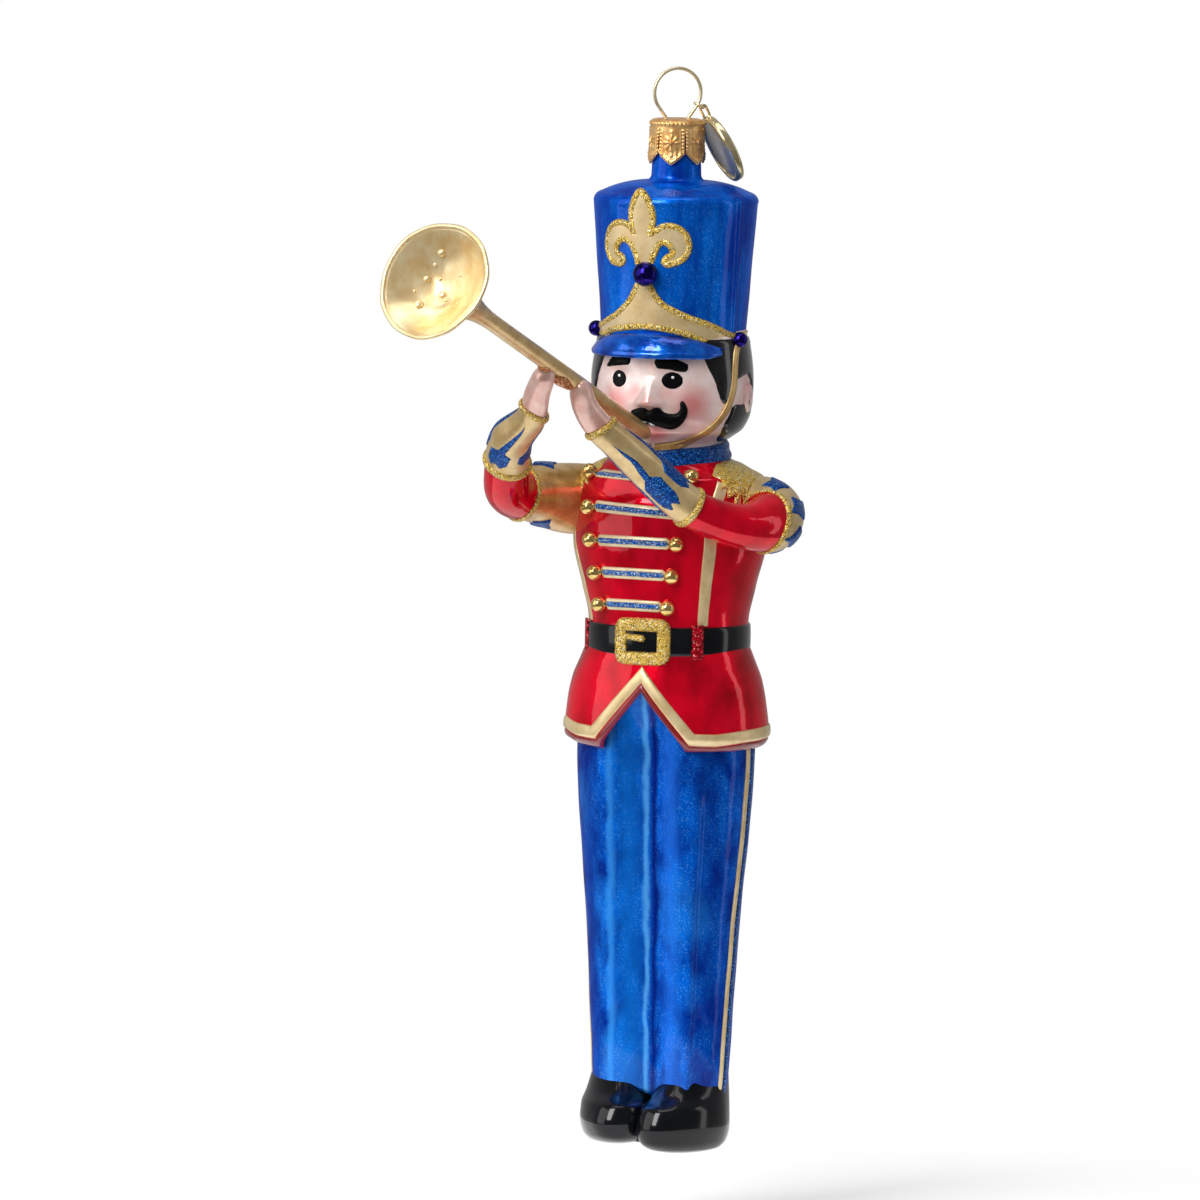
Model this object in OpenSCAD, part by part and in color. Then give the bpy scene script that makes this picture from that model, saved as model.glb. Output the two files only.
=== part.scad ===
// Hanging glass ornament: a toy soldier who blows a long trumpet.
// One blown glass body with an open neck, two bent glass arms, a glass trumpet, glued glass beads,
// and a crown cap with a sprung wire hanger that carries a small round charm.
// The origin is the inside top of the hanging loop. X is the viewer's right and -Y is the front.

/* [Hanging wire] */
// Outside diameter of the hanging loop
loop_d = 9.9; // [8.5:0.1:11.5]
// Thickness of the hanging wire
wire_d = 0.65; // [0.5:0.05:0.8]
// Half distance between the two wires where they enter the cap
leg_gap = 2.3; // [2:0.1:2.6]
// Angle from the bottom at which the wire leaves the round of the loop
loop_shoulder = 56; // [52:1:57]
// Length of the two sprung legs below the top of the cap
leg_len = 15; // [10:0.5:17]
// Turn of the loop about the upright axis
loop_turn = 38; // [0:1:60]

/* [Crown cap] */
// Height of the cap from its flat top to the lobe tips
cap_h = 8.5; // [7.5:0.1:10]
// Sheet thickness of the cap
cap_sheet = 0.28; // [0.2:0.02:0.4]
// How much wider the skirt of the cap is at the lobe tips than at the top
cap_flare = 0.3; // [0.1:0.05:0.5]
// Number of pointed lobes
cap_lobes = 6; // [5:1:9]
// Depth of the V between two lobes
lobe_depth = 2.3; // [1.6:0.1:3]
// Length of the slit above each V
slit_len = 3.6; // [2.5:0.1:4]
// Width of the slit between two lobes
slit_w = 0.3; // [0.2:0.02:0.4]

/* [Charm] */
// Outside diameter of the round charm
charm_d = 13.6; // [11:0.1:15]
// Thickness of the charm
charm_t = 1.7; // [1.3:0.1:2]
// Width of the raised bezel round the plate
bezel_w = 1.1; // [0.8:0.1:1.5]
// Thickness of the inlaid plate
plate_t = 0.5; // [0.3:0.05:0.6]
// Depth of the plate below the front of the bezel
plate_drop = 0.35; // [0.2:0.05:0.5]
// Outside diameter of the jump ring
jump_d = 2.4; // [2.3:0.05:2.8]
// Wire thickness of the jump ring
jump_wire = 0.5; // [0.4:0.05:0.55]
// Wire thickness of the bail on the charm
lug_wire = 0.5; // [0.4:0.05:0.6]
// Length of the straight sides of the bail
lug_len = 1.4; // [0.8:0.1:1.5]
// Place of the jump ring on the loop, as an angle from the bottom
charm_at = 60; // [58:1:70]

/* [Glass] */
// Wall thickness of the blown body
wall = 1; // [0.8:0.05:1.2]
// Wall thickness of the blown arms
arm_wall = 0.7; // [0.5:0.05:0.9]
// Outside diameter of the open neck
neck_d = 9.5; // [8.8:0.1:10.5]
// Length of the neck above the hat
neck_len = 11.5; // [10.6:0.1:13]

/* [Hat] */
// Diameter of the hat at its top edge
hat_d = 31.4; // [29:0.2:34]
// Diameter of the hat at the visor
brim_d = 27.6; // [26:0.2:29]
// How far the brim comes down over the head
brim_drop = 1.5; // [1:0.1:1.8]
// How much the brim flares over the head
brim_flare = 0.9; // [0.8:0.05:1.1]
// Height of the hat from its top edge to the visor
hat_h = 26; // [22:0.5:30]
// Rise of the domed top
dome_h = 2.8; // [2.2:0.1:4]
// Rounding of the top edge
hat_round = 1.6; // [1:0.1:2.2]
// How far the visor stands out in front of the hat
visor_out = 2.4; // [1.6:0.1:3.2]
// Thickness of the visor
visor_t = 1.5; // [1.2:0.1:2]
// Downward slope of the visor
visor_slope = 13; // [8:1:18]

/* [Head] */
// Width across the cheeks and hair
head_w = 30.4; // [28:0.2:32]
// Depth of the head
head_depth = 28.6; // [27:0.2:30]
// Height of the head from visor to chin
head_h = 21; // [19:0.5:24]
// How far the nose stands out
nose_out = 2.2; // [1.5:0.1:2.8]
// Height of an ear
ear_h = 5.4; // [4.4:0.1:6.4]

/* [Coat] */
// Diameter of the neck under the collar
neckline_d = 20; // [18.5:0.1:21]
// Height of the stand-up collar
collar_h = 3.6; // [3:0.1:4.2]
// Thickness of the collar
collar_t = 0.6; // [0.4:0.05:1]
// Width across the chest, without the arms
chest_w = 37.4; // [35:0.2:40]
// Depth of the chest
chest_depth = 31.4; // [29:0.2:34]
// Width at the waist
waist_w = 30.6; // [29:0.2:32]
// Depth at the waist
waist_depth = 29; // [27.5:0.2:30.5]
// Height of the coat from the chin to the belt
coat_h = 34.2; // [31:0.5:38]
// Width of the skirt of the coat at its hem
hem_w = 39.6; // [38:0.2:41]
// Depth of the skirt of the coat at its hem
hem_depth = 32.8; // [31.5:0.2:34]
// Length of the skirt below the belt
skirt_h = 18.2; // [16:0.2:21]
// Height of the V cut in the front of the skirt
notch_h = 12.6; // [10:0.2:14]
// Width of the V at the hem
notch_w = 18.6; // [15:0.2:22]

/* [Belt] */
// Height of the belt
belt_h = 5.6; // [4.6:0.1:6.6]
// How far the belt stands proud of the coat
belt_t = 0.45; // [0.3:0.05:0.8]
// Width of the buckle
buckle_w = 10.6; // [9:0.1:12]
// Height of the buckle
buckle_h = 8.8; // [7.8:0.1:9.6]
// Width of the buckle frame
buckle_bar = 2; // [1.5:0.1:2.4]
// How far the buckle stands proud of the belt
buckle_t = 0.8; // [0.5:0.05:1.1]
// Width of the loop that keeps the end of the belt
keeper_w = 2.4; // [1.8:0.1:3]
// Angle of the keeper from the front
keeper_at = 38; // [30:1:50]

/* [Trousers and boots] */
// Width of the trousers at the hips
hip_w = 34.6; // [33:0.2:36]
// Depth of the trousers at the hips
hip_depth = 28.4; // [26:0.2:29]
// Width of the trousers at the boots
ankle_w = 26.4; // [25:0.2:28]
// Depth of the trousers at the boots
ankle_depth = 21.6; // [20:0.2:23]
// Length of the trousers that shows below the skirt
trouser_h = 63.4; // [56:0.5:70]
// Depth of the crease between the two legs, as a share of the depth of the leg
leg_crease = 0.34; // [0.2:0.02:0.45]
// Height of the boots
boot_h = 13.4; // [11:0.2:16]
// Length of a boot from heel to toe
boot_len = 25.4; // [23:0.2:28]
// Width of one boot
boot_w = 14.4; // [13.6:0.1:15.2]

/* [Buttons and beads] */
// Diameter of a coat button
button_d = 2.9; // [2.4:0.1:3.2]
// Distance from the middle of the braid to a button in the top row
button_top_x = 10.4; // [9.5:0.1:11.8]
// Distance from the middle of the braid to a button in the bottom row
button_low_x = 6.9; // [6.4:0.1:8.6]
// Sideways place of the middle of the braid
button_mid_x = -2.1; // [-3:0.1:0]
// Drop from the chin to the top row
button_drop = 6; // [5:0.1:6.5]
// Height of the lowest pair of buttons above the belt
button_rise = 3.9; // [3.7:0.1:6]
// Diameter of the large bead on the hat
front_bead_d = 4.6; // [3.8:0.1:5.4]
// Diameter of the small beads at the ends of the hat band
side_bead_d = 2.8; // [2.2:0.1:3.4]
// Drop of the large bead below the top edge of the hat
front_bead_drop = 13.8; // [11:0.2:16]
// Angle of the small beads from the front of the hat
side_bead_at = 78; // [70:1:86]
// Height of the side beads above the peak of the hat
side_bead_rise = 0.4; // [0.2:0.1:1.4]
// How much lower the bead at the viewer's right is glued
side_bead_skew = 1; // [0:0.1:1.2]

/* [Arms] */
// Radius of an arm at the shoulder
shoulder_r = 6.7; // [6:0.1:7]
// Radius of an arm at the elbow
elbow_r = 4.7; // [4.2:0.1:5.2]
// Radius of the cuff at the wrist
wrist_r = 2.8; // [2.6:0.1:3]
// Radius of the hand
hand_r = 2.5; // [2.2:0.1:2.6]
// Drop of the shoulders below the chin
shoulder_drop = 11.2; // [10.5:0.1:13]
// Depth of an arm's closed end inside the side of the chest
shoulder_root = 5; // [4:0.5:6]
// How far the right elbow reaches in front of the middle of the chest
right_reach = 28.6; // [27:0.2:30]
// How far the left elbow reaches in front of the middle of the chest
left_reach = 21.2; // [20:0.2:22.4]
// How far the right elbow stands out beside the chest
elbow_out = 5.2; // [4.2:0.2:6]
// Length of a forearm from its start to the palm
forearm = 21.6; // [20.6:0.2:22.6]
// Distance from the tube to the middle of a palm
palm_depth = 0.6; // [0.4:0.1:0.8]

/* [Trumpet] */
// Length of the trumpet
trumpet_len = 84; // [76:1:92]
// Outside diameter of the bell
bell_d = 23.4; // [20:0.2:26]
// Diameter of the tube at the hands
tube_d = 3.2; // [2.9:0.1:3.6]
// Diameter of the mouth end
mouth_d = 2.8; // [2.4:0.1:3]
// Length of the flare behind the bell
flare_len = 26; // [20:1:32]
// Depth of the dish in the bell
dish_depth = 6.5; // [5:0.5:8]
// Thickness of the lip of the bell
lip_t = 0.9; // [0.6:0.1:1.2]
// Upward slope of the trumpet
trumpet_slope = 23.5; // [18:0.5:28]
// Turn of the trumpet to the viewer's left
trumpet_turn = 11.9; // [6:0.1:16]
// Place of the right hand, as a share of the length
right_grip = 0.47; // [0.44:0.01:0.5]
// Place of the left hand, as a share of the length
left_grip = 0.31; // [0.29:0.01:0.35]

/* [Hidden] */
$fn = 48;
button_rows = 5;

// Gap between parts that are glued, fused or seated on each other
seat_gap = 0.05;
// Radial clearance of the cap on the neck and of the wire in its slot
running_gap = 0.08;

// Levels from the top down
wire_r = wire_d / 2;
loop_r = loop_d / 2 - wire_r;
loop_z = wire_r - loop_r;
cap_z = loop_z - loop_r - wire_r - seat_gap;
neck_z = cap_z - cap_sheet - seat_gap;
hat_z = neck_z - neck_len;
edge_z = hat_z - dome_h;
visor_z = edge_z - hat_h;
chin_z = visor_z - head_h;
belt_z = chin_z - coat_h;
skirt_z = belt_z - belt_h;
hem_z = skirt_z - skirt_h;
boot_z = hem_z - trouser_h;
sole_z = boot_z - boot_h;

neck_r = neck_d / 2;
bore_r = neck_r - wall;
cap_r = neck_r + running_gap + cap_sheet;

// ---- Curves ----

function mix(a, b, t) = a + (b - a) * t;

// Slope of column c between rows i and i + 1 of a table sorted by its first column
function chord(t, i, c) = (t[i + 1][c] - t[i][c]) / (t[i + 1][0] - t[i][0]);

// Slope at row i that keeps the curve from overshooting
function row_slope(t, i, c) =
  i == 0 ? chord(t, 0, c)
  : i == len(t) - 1 ? chord(t, i - 1, c)
  : chord(t, i - 1, c) * chord(t, i, c) <= 0 ? 0
  : 2 * chord(t, i - 1, c) * chord(t, i, c) / (chord(t, i - 1, c) + chord(t, i, c));

// Last row whose first value is not above x
function row_below(t, x, i = 0) = i >= len(t) - 2 || t[i + 1][0] > x ? i : row_below(t, x, i + 1);

// Smooth value of column c at x
function smooth(t, x, c) =
  let (i = row_below(t, x))
  let (w = t[i + 1][0] - t[i][0])
  let (s = (x - t[i][0]) / w)
  t[i][c] * (1 + 2 * s) * (1 - s) * (1 - s)
  + row_slope(t, i, c) * w * s * (1 - s) * (1 - s)
  + t[i + 1][c] * s * s * (3 - 2 * s)
  - row_slope(t, i + 1, c) * w * s * s * (1 - s);

// Point on a smooth curve through the rows of p, between rows i and i + 1
function through(p, i, t) =
  let (a = p[max(i - 1, 0)])
  let (b = p[i])
  let (c = p[i + 1])
  let (d = p[min(i + 2, len(p) - 1)])
  (2 * b + (c - a) * t + (2 * a - 5 * b + 4 * c - d) * t * t + (3 * b - a - 3 * c + d) * t * t * t) / 2;

function curve(p, steps) = [
  for (i = [0:len(p) - 2], s = [0:steps - 1]) through(p, i, s / steps),
  p[len(p) - 1]
];

function unit(v) = v / norm(v);
function xyz(p) = [p[0], p[1], p[2]];

// Closed skin over a stack of rings that turn counter-clockwise about the way they advance
module skin(rings) {
  n = len(rings[0]);
  m = len(rings);
  polyhedron(
    [for (r = rings) each r],
    concat(
      [[for (i = [0:n - 1]) i]],
      [
        for (k = [0:m - 2], i = [0:n - 1])
        let (a = k * n + i, b = k * n + (i + 1) % n)
        each [[a, a + n, b + n], [a, b + n, b]]
      ],
      [[for (i = [n - 1:-1:0]) (m - 1) * n + i]]
    ),
    convexity = 8
  );
}

// Round tube through rows of [x, y, z, radius]
function tube_ring(path, k, sides, grow) =
  let (a = xyz(path[max(k - 1, 0)]))
  let (b = xyz(path[min(k + 1, len(path) - 1)]))
  let (t = unit(b - a))
  let (u = unit(cross(t, [0, 0, 1])))
  let (v = cross(t, u))
  let (r = path[k][3] + grow)
  [for (i = [0:sides - 1]) xyz(path[k]) + r * (cos(360 * i / sides) * u + sin(360 * i / sides) * v)];

module tube(path, sides, grow = 0) {
  skin([for (k = [0:len(path) - 1]) tube_ring(path, k, sides, grow)]);
}

// Round rod between two points
module rod(a, b, r) {
  d = b - a;
  translate(a)
    rotate([0, acos(d[2] / norm(d)), atan2(d[1], d[0])])
      cylinder(h = norm(d), r = r);
}

// ---- Hanger, cap and charm: all lie in the plane of the loop ----

module in_loop_plane() {
  rotate([0, 0, loop_turn])
    children();
}

leg_tip_x = bore_r - wire_r - running_gap;
slot_len = 2 * (leg_tip_x + wire_r + running_gap);
slot_w = wire_d + 2 * running_gap;

module hanger_wire() {
  color("gold")
    in_loop_plane() {
      translate([0, 0, loop_z])
        rotate([90, 0, 0])
          rotate([0, 0, loop_shoulder - 90])
            rotate_extrude(angle = 360 - 2 * loop_shoulder)
              translate([loop_r, 0])
                circle(wire_r, $fn = 24);
      for (side = [-1, 1]) {
        top = [side * loop_r * sin(loop_shoulder), 0, loop_z - loop_r * cos(loop_shoulder)];
        entry = [side * leg_gap, 0, cap_z + cap_sheet];
        bend = [side * leg_gap, 0, neck_z - 2 * wire_d];
        tip = [side * leg_tip_x, 0, cap_z - leg_len];
        rod(top, entry, wire_r);
        rod(entry, bend, wire_r);
        rod(bend, tip, wire_r);
        for (joint = [top, entry, bend, tip])
          translate(joint)
            sphere(wire_r + 0.02, $fn = 24);
      }
    }
}

module lobe_gap() {
  valley_z = cap_z - cap_h + lobe_depth;
  half_gap = (cap_r + cap_flare) * tan(180 / cap_lobes);
  rotate([90, 0, 0])
    linear_extrude(height = 2 * cap_r) {
      polygon([
        [0, valley_z],
        [-half_gap, cap_z - cap_h],
        [-half_gap, cap_z - cap_h - 1],
        [half_gap, cap_z - cap_h - 1],
        [half_gap, cap_z - cap_h]
      ]);
      translate([-slit_w / 2, valley_z - slit_w])
        square([slit_w, slit_len + slit_w]);
    }
}

module crown_cap() {
  low_z = cap_z - cap_h;
  round_r = 2 * cap_sheet;
  color("darkgoldenrod")
    difference() {
      rotate_extrude($fn = 64)
        polygon(concat(
          [[0, cap_z]],
          [for (a = [90:-22.5:0]) [cap_r - round_r + round_r * cos(a), cap_z - round_r + round_r * sin(a)]],
          [[cap_r + cap_flare, low_z], [cap_r + cap_flare - cap_sheet, low_z]],
          [[cap_r - cap_sheet, cap_z - round_r], [cap_r - cap_sheet, cap_z - cap_sheet], [0, cap_z - cap_sheet]]
        ));
      in_loop_plane()
        translate([-slot_len / 2, -slot_w / 2, cap_z - 2 * cap_sheet])
          cube([slot_len, slot_w, 3 * cap_sheet]);
      for (i = [0:cap_lobes - 1])
        rotate([0, 0, loop_turn + 90 + (i + 0.5) * 360 / cap_lobes])
          lobe_gap();
    }
}

// Jump ring: round the wire of the loop, and square to it
jump_r = (jump_d - jump_wire) / 2;
jump_hole_r = jump_r - jump_wire / 2;
jump_way = [sin(charm_at), 0, -cos(charm_at)];
jump_seat = [0, 0, loop_z] + loop_r * jump_way;
jump_mid = jump_seat + (jump_hole_r - wire_r - seat_gap / 2) * jump_way;
charm_pivot = jump_mid + jump_r * jump_way;

// Bail: two half rings with straight sides, no wider than the charm is thick
lug_play = 0.1;
lug_r = lug_wire / 2 + jump_wire / 2 + lug_play;
lug_half_w = max(charm_t / 2, lug_r + lug_wire / 2);
lug_drop = lug_r - lug_wire / 2 - jump_wire / 2 - seat_gap / 2;
disc_drop = lug_drop + lug_len + lug_r + charm_d / 2 - lug_wire / 3;

// Lean at which the charm rests on the top edge of the cap
rest_w = charm_pivot[0] - cap_r;
rest_h = charm_pivot[2] - cap_z;
charm_lean = atan2(rest_h, rest_w) - acos((lug_half_w + 2 * seat_gap) / norm([rest_w, rest_h]));

module jump_ring() {
  color("gold")
    in_loop_plane()
      translate(jump_mid)
        rotate([0, 90 - charm_at, 0])
          rotate_extrude($fn = 32)
            translate([jump_r, 0])
              circle(jump_wire / 2, $fn = 20);
}

module on_charm() {
  in_loop_plane()
    translate(charm_pivot)
      rotate([0, -charm_lean, 0])
        children();
}

// Round body of the charm, with its axis across the hanging direction
module charm_disc() {
  translate([0, 0, -disc_drop])
    rotate([0, 90, 0])
      children();
}

plate_r = charm_d / 2 - bezel_w - seat_gap;
plate_front = plate_drop - charm_t / 2;

module charm_bail() {
  for (side = [-1, 1]) {
    translate([0, 0, side > 0 ? -lug_drop : -lug_drop - lug_len])
      rotate([90, 0, 0])
        rotate([0, 0, side > 0 ? 0 : 180])
          rotate_extrude(angle = 180, $fn = 32)
            translate([lug_r, 0])
              circle(lug_wire / 2, $fn = 20);
    translate([side * lug_r, 0, -lug_drop - lug_len])
      cylinder(h = lug_len, r = lug_wire / 2, $fn = 20);
  }
}

module charm_frame() {
  r = charm_d / 2;
  h = charm_t / 2;
  bevel = 0.35;
  color("gold")
    on_charm() {
      charm_disc()
        rotate_extrude($fn = 96)
          polygon([
            [0, plate_front + plate_t + seat_gap],
            [r - bezel_w, plate_front + plate_t + seat_gap],
            [r - bezel_w, -h + bevel / 2],
            [r - bezel_w + bevel / 2, -h],
            [r - bevel, -h],
            [r, -h + bevel],
            [r, h - bevel],
            [r - bevel, h],
            [0, h]
          ]);
      charm_bail();
    }
}

module charm_plate() {
  color("silver")
    on_charm()
      charm_disc()
        translate([0, 0, plate_front])
          cylinder(h = plate_t, r = plate_r, $fn = 96);
}

// ---- Blown body ----

// Neck and hat, turned about the upright axis
module hat_turned(inset) {
  top_r = hat_d / 2 - inset;
  low_r = brim_d / 2 - inset;
  crown_z = hat_z - inset;
  rim_z = edge_z - inset;
  neck = neck_r - inset;
  blend = 1.2;
  soft = hat_round - inset / 2;
  over = inset > 0 ? 2 * wall : 0;
  rotate_extrude($fn = 96)
    polygon(concat(
      [[0, neck_z + over], [neck, neck_z + over], [neck, crown_z + blend]],
      [for (a = [15:15:75]) [neck + blend - blend * cos(a), crown_z + blend - blend * sin(a)]],
      [for (s = [0.15:0.17:0.83]) [mix(neck + blend, top_r - soft, s), mix(crown_z, rim_z + soft / 2, s * s)]],
      [for (a = [70:-20:10]) [top_r - soft + soft * cos(a), rim_z - soft / 2 + soft * sin(a)]],
      [[low_r, visor_z - inset]],
      inset > 0 ? [] : [[low_r + brim_flare, visor_z - brim_drop]],
      [[0, visor_z - (inset > 0 ? inset : brim_drop)]]
    ));
}

// Rows of [height, half width, half depth, crease]
body_rows = [
  [sole_z + boot_h * 0.45, ankle_w / 2 - 0.6, ankle_depth / 2 - 0.4, leg_crease],
  [boot_z, ankle_w / 2, ankle_depth / 2, leg_crease],
  [mix(boot_z, hem_z, 0.45), mix(ankle_w, hip_w, 0.38) / 2, mix(ankle_depth, hip_depth, 0.4) / 2, leg_crease],
  [hem_z, hip_w / 2, hip_depth / 2, leg_crease * 0.9],
  [mix(hem_z, skirt_z, 0.6), mix(hip_w, waist_w, 0.4) / 2, mix(hip_depth, waist_depth, 0.4) / 2, leg_crease * 0.4],
  [skirt_z, waist_w / 2, waist_depth / 2, 0],
  [belt_z, waist_w / 2, waist_depth / 2, 0],
  [mix(belt_z, chin_z, 0.2), mix(waist_w, chest_w, 0.42) / 2, mix(waist_depth, chest_depth, 0.5) / 2, 0],
  [mix(belt_z, chin_z, 0.45), chest_w / 2, chest_depth / 2, 0],
  [chin_z - shoulder_drop, chest_w / 2, chest_depth / 2 - 0.4, 0],
  [chin_z - collar_h - 2.6, chest_w / 2 - 1, chest_depth / 2 - 2.2, 0],
  [chin_z - collar_h - 1, chest_w / 2 - 3.8, chest_depth / 2 - 4.2, 0],
  [chin_z - collar_h + 0.4, neckline_d / 2 + 2, neckline_d / 2 + 1, 0],
  [chin_z - collar_h + 1.2, neckline_d / 2, neckline_d / 2, 0],
  [chin_z, neckline_d / 2, neckline_d / 2, 0],
  [mix(chin_z, visor_z, 0.14), mix(neckline_d, head_w, 0.62) / 2, mix(neckline_d, head_depth, 0.76) / 2, 0],
  [mix(chin_z, visor_z, 0.3), mix(neckline_d, head_w, 0.9) / 2, mix(neckline_d, head_depth, 0.96) / 2, 0],
  [mix(chin_z, visor_z, 0.56), head_w / 2, head_depth / 2, 0],
  [visor_z, brim_d / 2 + 0.3, brim_d / 2 - 0.2, 0],
  [visor_z + 3, brim_d / 2 - 0.8, brim_d / 2 - 0.8, 0]
];

crease_w = 5;

// One level ring of the body, drawn in by inset
function body_ring(z, sides, inset) =
  let (a = smooth(body_rows, z, 1) - inset)
  let (b = smooth(body_rows, z, 2) - inset)
  let (c = smooth(body_rows, z, 3))
  [
    for (i = [0:sides - 1])
    let (x = a * cos(360 * i / sides))
    [x, b * sin(360 * i / sides) * (1 - c * exp(-pow(x / crease_w, 2))), z]
  ];

function levels(from, to, count) = [for (i = [0:count - 1]) mix(from, to, i / count)];

body_levels = concat(
  levels(body_rows[0][0], boot_z, 1),
  levels(boot_z, hem_z, 5),
  levels(hem_z, skirt_z, 3),
  levels(skirt_z, belt_z, 1),
  levels(belt_z, chin_z, 16),
  levels(chin_z, visor_z, 11),
  levels(visor_z, visor_z + 2.5, 1)
);

module body_skin(inset = 0, low = sole_z, high = neck_z) {
  skin([for (z = body_levels) if (z >= low && z <= high) body_ring(z, 44, inset)]);
}

// Skirt of the coat, flared over the hips
skirt_rows = [
  [hem_z, hip_w / 2 - 0.6, hip_depth / 2 - 0.6],
  [hem_z + 0.2, hem_w / 2 - 1.8, hem_depth / 2 - 1.8],
  [hem_z + 3, hem_w / 2, hem_depth / 2],
  [mix(hem_z, skirt_z, 0.48), mix(waist_w, hem_w, 0.87) / 2, mix(waist_depth, hem_depth, 0.88) / 2],
  [mix(hem_z, skirt_z, 0.72), mix(waist_w, hem_w, 0.66) / 2, mix(waist_depth, hem_depth, 0.68) / 2],
  [mix(hem_z, skirt_z, 0.9), mix(waist_w, hem_w, 0.36) / 2, mix(waist_depth, hem_depth, 0.38) / 2],
  [skirt_z + belt_h / 2, waist_w / 2 - 0.3, waist_depth / 2 - 0.3]
];

function oval(z, a, b, sides) = [
  for (i = [0:sides - 1]) [a * cos(360 * i / sides), b * sin(360 * i / sides), z]
];

module coat_skirt() {
  difference() {
    skin([
      for (z = concat([hem_z, hem_z + 0.2, hem_z + 1.4], levels(hem_z + 3, skirt_z + belt_h / 2, 8)))
      oval(z, smooth(skirt_rows, z, 1), smooth(skirt_rows, z, 2), 44)
    ]);
    rotate([90, 0, 0])
      linear_extrude(height = hem_depth)
        polygon([
          [0, hem_z + notch_h],
          [-notch_w / 2, hem_z],
          [-notch_w / 2, hem_z - 2],
          [notch_w / 2, hem_z - 2],
          [notch_w / 2, hem_z]
        ]);
  }
}

// Band round the waist that stands out by proud
module waist_band(proud, h) {
  mid_z = (belt_z + skirt_z) / 2;
  a = waist_w / 2 + proud;
  b = waist_depth / 2 + proud;
  soft = min(0.3, proud / 2);
  skin([
    oval(mid_z - h / 2, a - soft, b - soft, 44),
    oval(mid_z - h / 2 + soft, a, b, 44),
    oval(mid_z + h / 2 - soft, a, b, 44),
    oval(mid_z + h / 2, a - soft, b - soft, 44)
  ]);
}

// Flat outline pushed through the front of the belt
module on_belt_front(turn) {
  rotate([0, 0, turn])
    translate([0, 0, (belt_z + skirt_z) / 2])
      rotate([90, 0, 0])
        linear_extrude(height = hem_w)
          children();
}

module rounded_plate(w, h, r) {
  square([w - 2 * r, h], center = true);
  square([w, h - 2 * r], center = true);
  for (x = [-1, 1], y = [-1, 1])
    translate([x * (w / 2 - r), y * (h / 2 - r)])
      circle(r, $fn = 24);
}

module buckle() {
  intersection() {
    waist_band(belt_t + buckle_t, buckle_h + 2);
    on_belt_front(0) {
      difference() {
        rounded_plate(buckle_w, buckle_h, 1.3);
        rounded_plate(buckle_w - 2 * buckle_bar, buckle_h - 2 * buckle_bar, 0.6);
      }
      translate([0.6 - buckle_w / 2, 0.1 * buckle_h - buckle_bar / 2])
        square([buckle_w * 0.55, buckle_bar * 0.8]);
    }
  }
}

// Loop that keeps the end of the belt
module belt_keeper() {
  intersection() {
    waist_band(belt_t + buckle_t / 2, belt_h + 0.8);
    on_belt_front(keeper_at)
      square([keeper_w, 2 * belt_h], center = true);
  }
}

module visor() {
  r = brim_d / 2;
  intersection() {
    translate([0, -visor_out, visor_z + 0.4])
      rotate([visor_slope, 0, 0])
        translate([0, 0, -visor_t])
          rotate_extrude($fn = 96)
            polygon([
              [0, 0],
              [r - visor_t / 3, 0],
              [r, visor_t / 3],
              [r, visor_t * 2 / 3],
              [r - visor_t / 2, visor_t],
              [0, visor_t + 1]
            ]);
    translate([-hat_d, -2 * hat_d, visor_z - hat_h])
      cube([2 * hat_d, 2 * hat_d, hat_h + 3]);
  }
}

// Front of the face at height z
function face_y(z) = -smooth(body_rows, z, 2);

nose_z = mix(chin_z, visor_z, 0.46);
mouth_z = mix(chin_z, visor_z, 0.077);
ear_z = mix(chin_z, visor_z, 0.45);

module nose() {
  hull() {
    translate([0, face_y(nose_z) - nose_out + 1.1, nose_z - 0.4])
      sphere(1.2, $fn = 20);
    translate([0, face_y(nose_z) + 1.6, nose_z - 0.3])
      rotate([0, 90, 0])
        cylinder(h = 4.4, r = 1, center = true, $fn = 20);
    translate([0, face_y(nose_z) + 1.4, nose_z + 4.2])
      sphere(0.9, $fn = 20);
  }
}

module moustache() {
  lip_z = mix(chin_z, visor_z, 0.33);
  for (side = [-1, 1])
    translate([side * 2.7, face_y(lip_z) + 0.5, lip_z + 1.9])
      rotate([90, 0, side * 16])
        rotate([0, 0, side > 0 ? 200 : 185])
          rotate_extrude(angle = 155)
            translate([2.3, 0])
              circle(0.75, $fn = 20);
}

module ears() {
  for (side = [-1, 1])
    translate([side * (head_w / 2 - 0.9), 0.4, ear_z])
      rotate([0, 90, 0])
        rotate_extrude($fn = 40)
          translate([ear_h / 2 - 0.8, 0])
            circle(0.8, $fn = 20);
}

// Lips, which the end of the trumpet rests on
lip_r = 1.8;
lip_at = [-0.1, face_y(mouth_z) + 1, mouth_z];

// Rows of [share of the boot height, half width, half length, forward shift]
boot_rows = [
  [0, 0.5, 0.5, 3.2],
  [0.05, 0.78, 0.76, 3.3],
  [0.16, 0.93, 0.93, 3.4],
  [0.35, 1, 1, 3.4],
  [0.6, 0.98, 0.95, 2.9],
  [0.8, 0.9, 0.8, 0.9],
  [1.05, 0.83, 0.66, -0.6]
];

module boot(side) {
  skin([
    for (s = [0, 0.05, 0.16, 0.35, 0.48, 0.6, 0.7, 0.8, 0.9, 1.05])
    let (z = mix(sole_z + (1 - side) * 0.6, boot_z, s))
    [
      for (p = oval(z, smooth(boot_rows, s, 1) * boot_w / 2, smooth(boot_rows, s, 2) * boot_len / 2, 28))
      p + [side * (ankle_w / 4 + 0.3), -smooth(boot_rows, s, 3), 0]
    ]
  ]);
}

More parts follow.
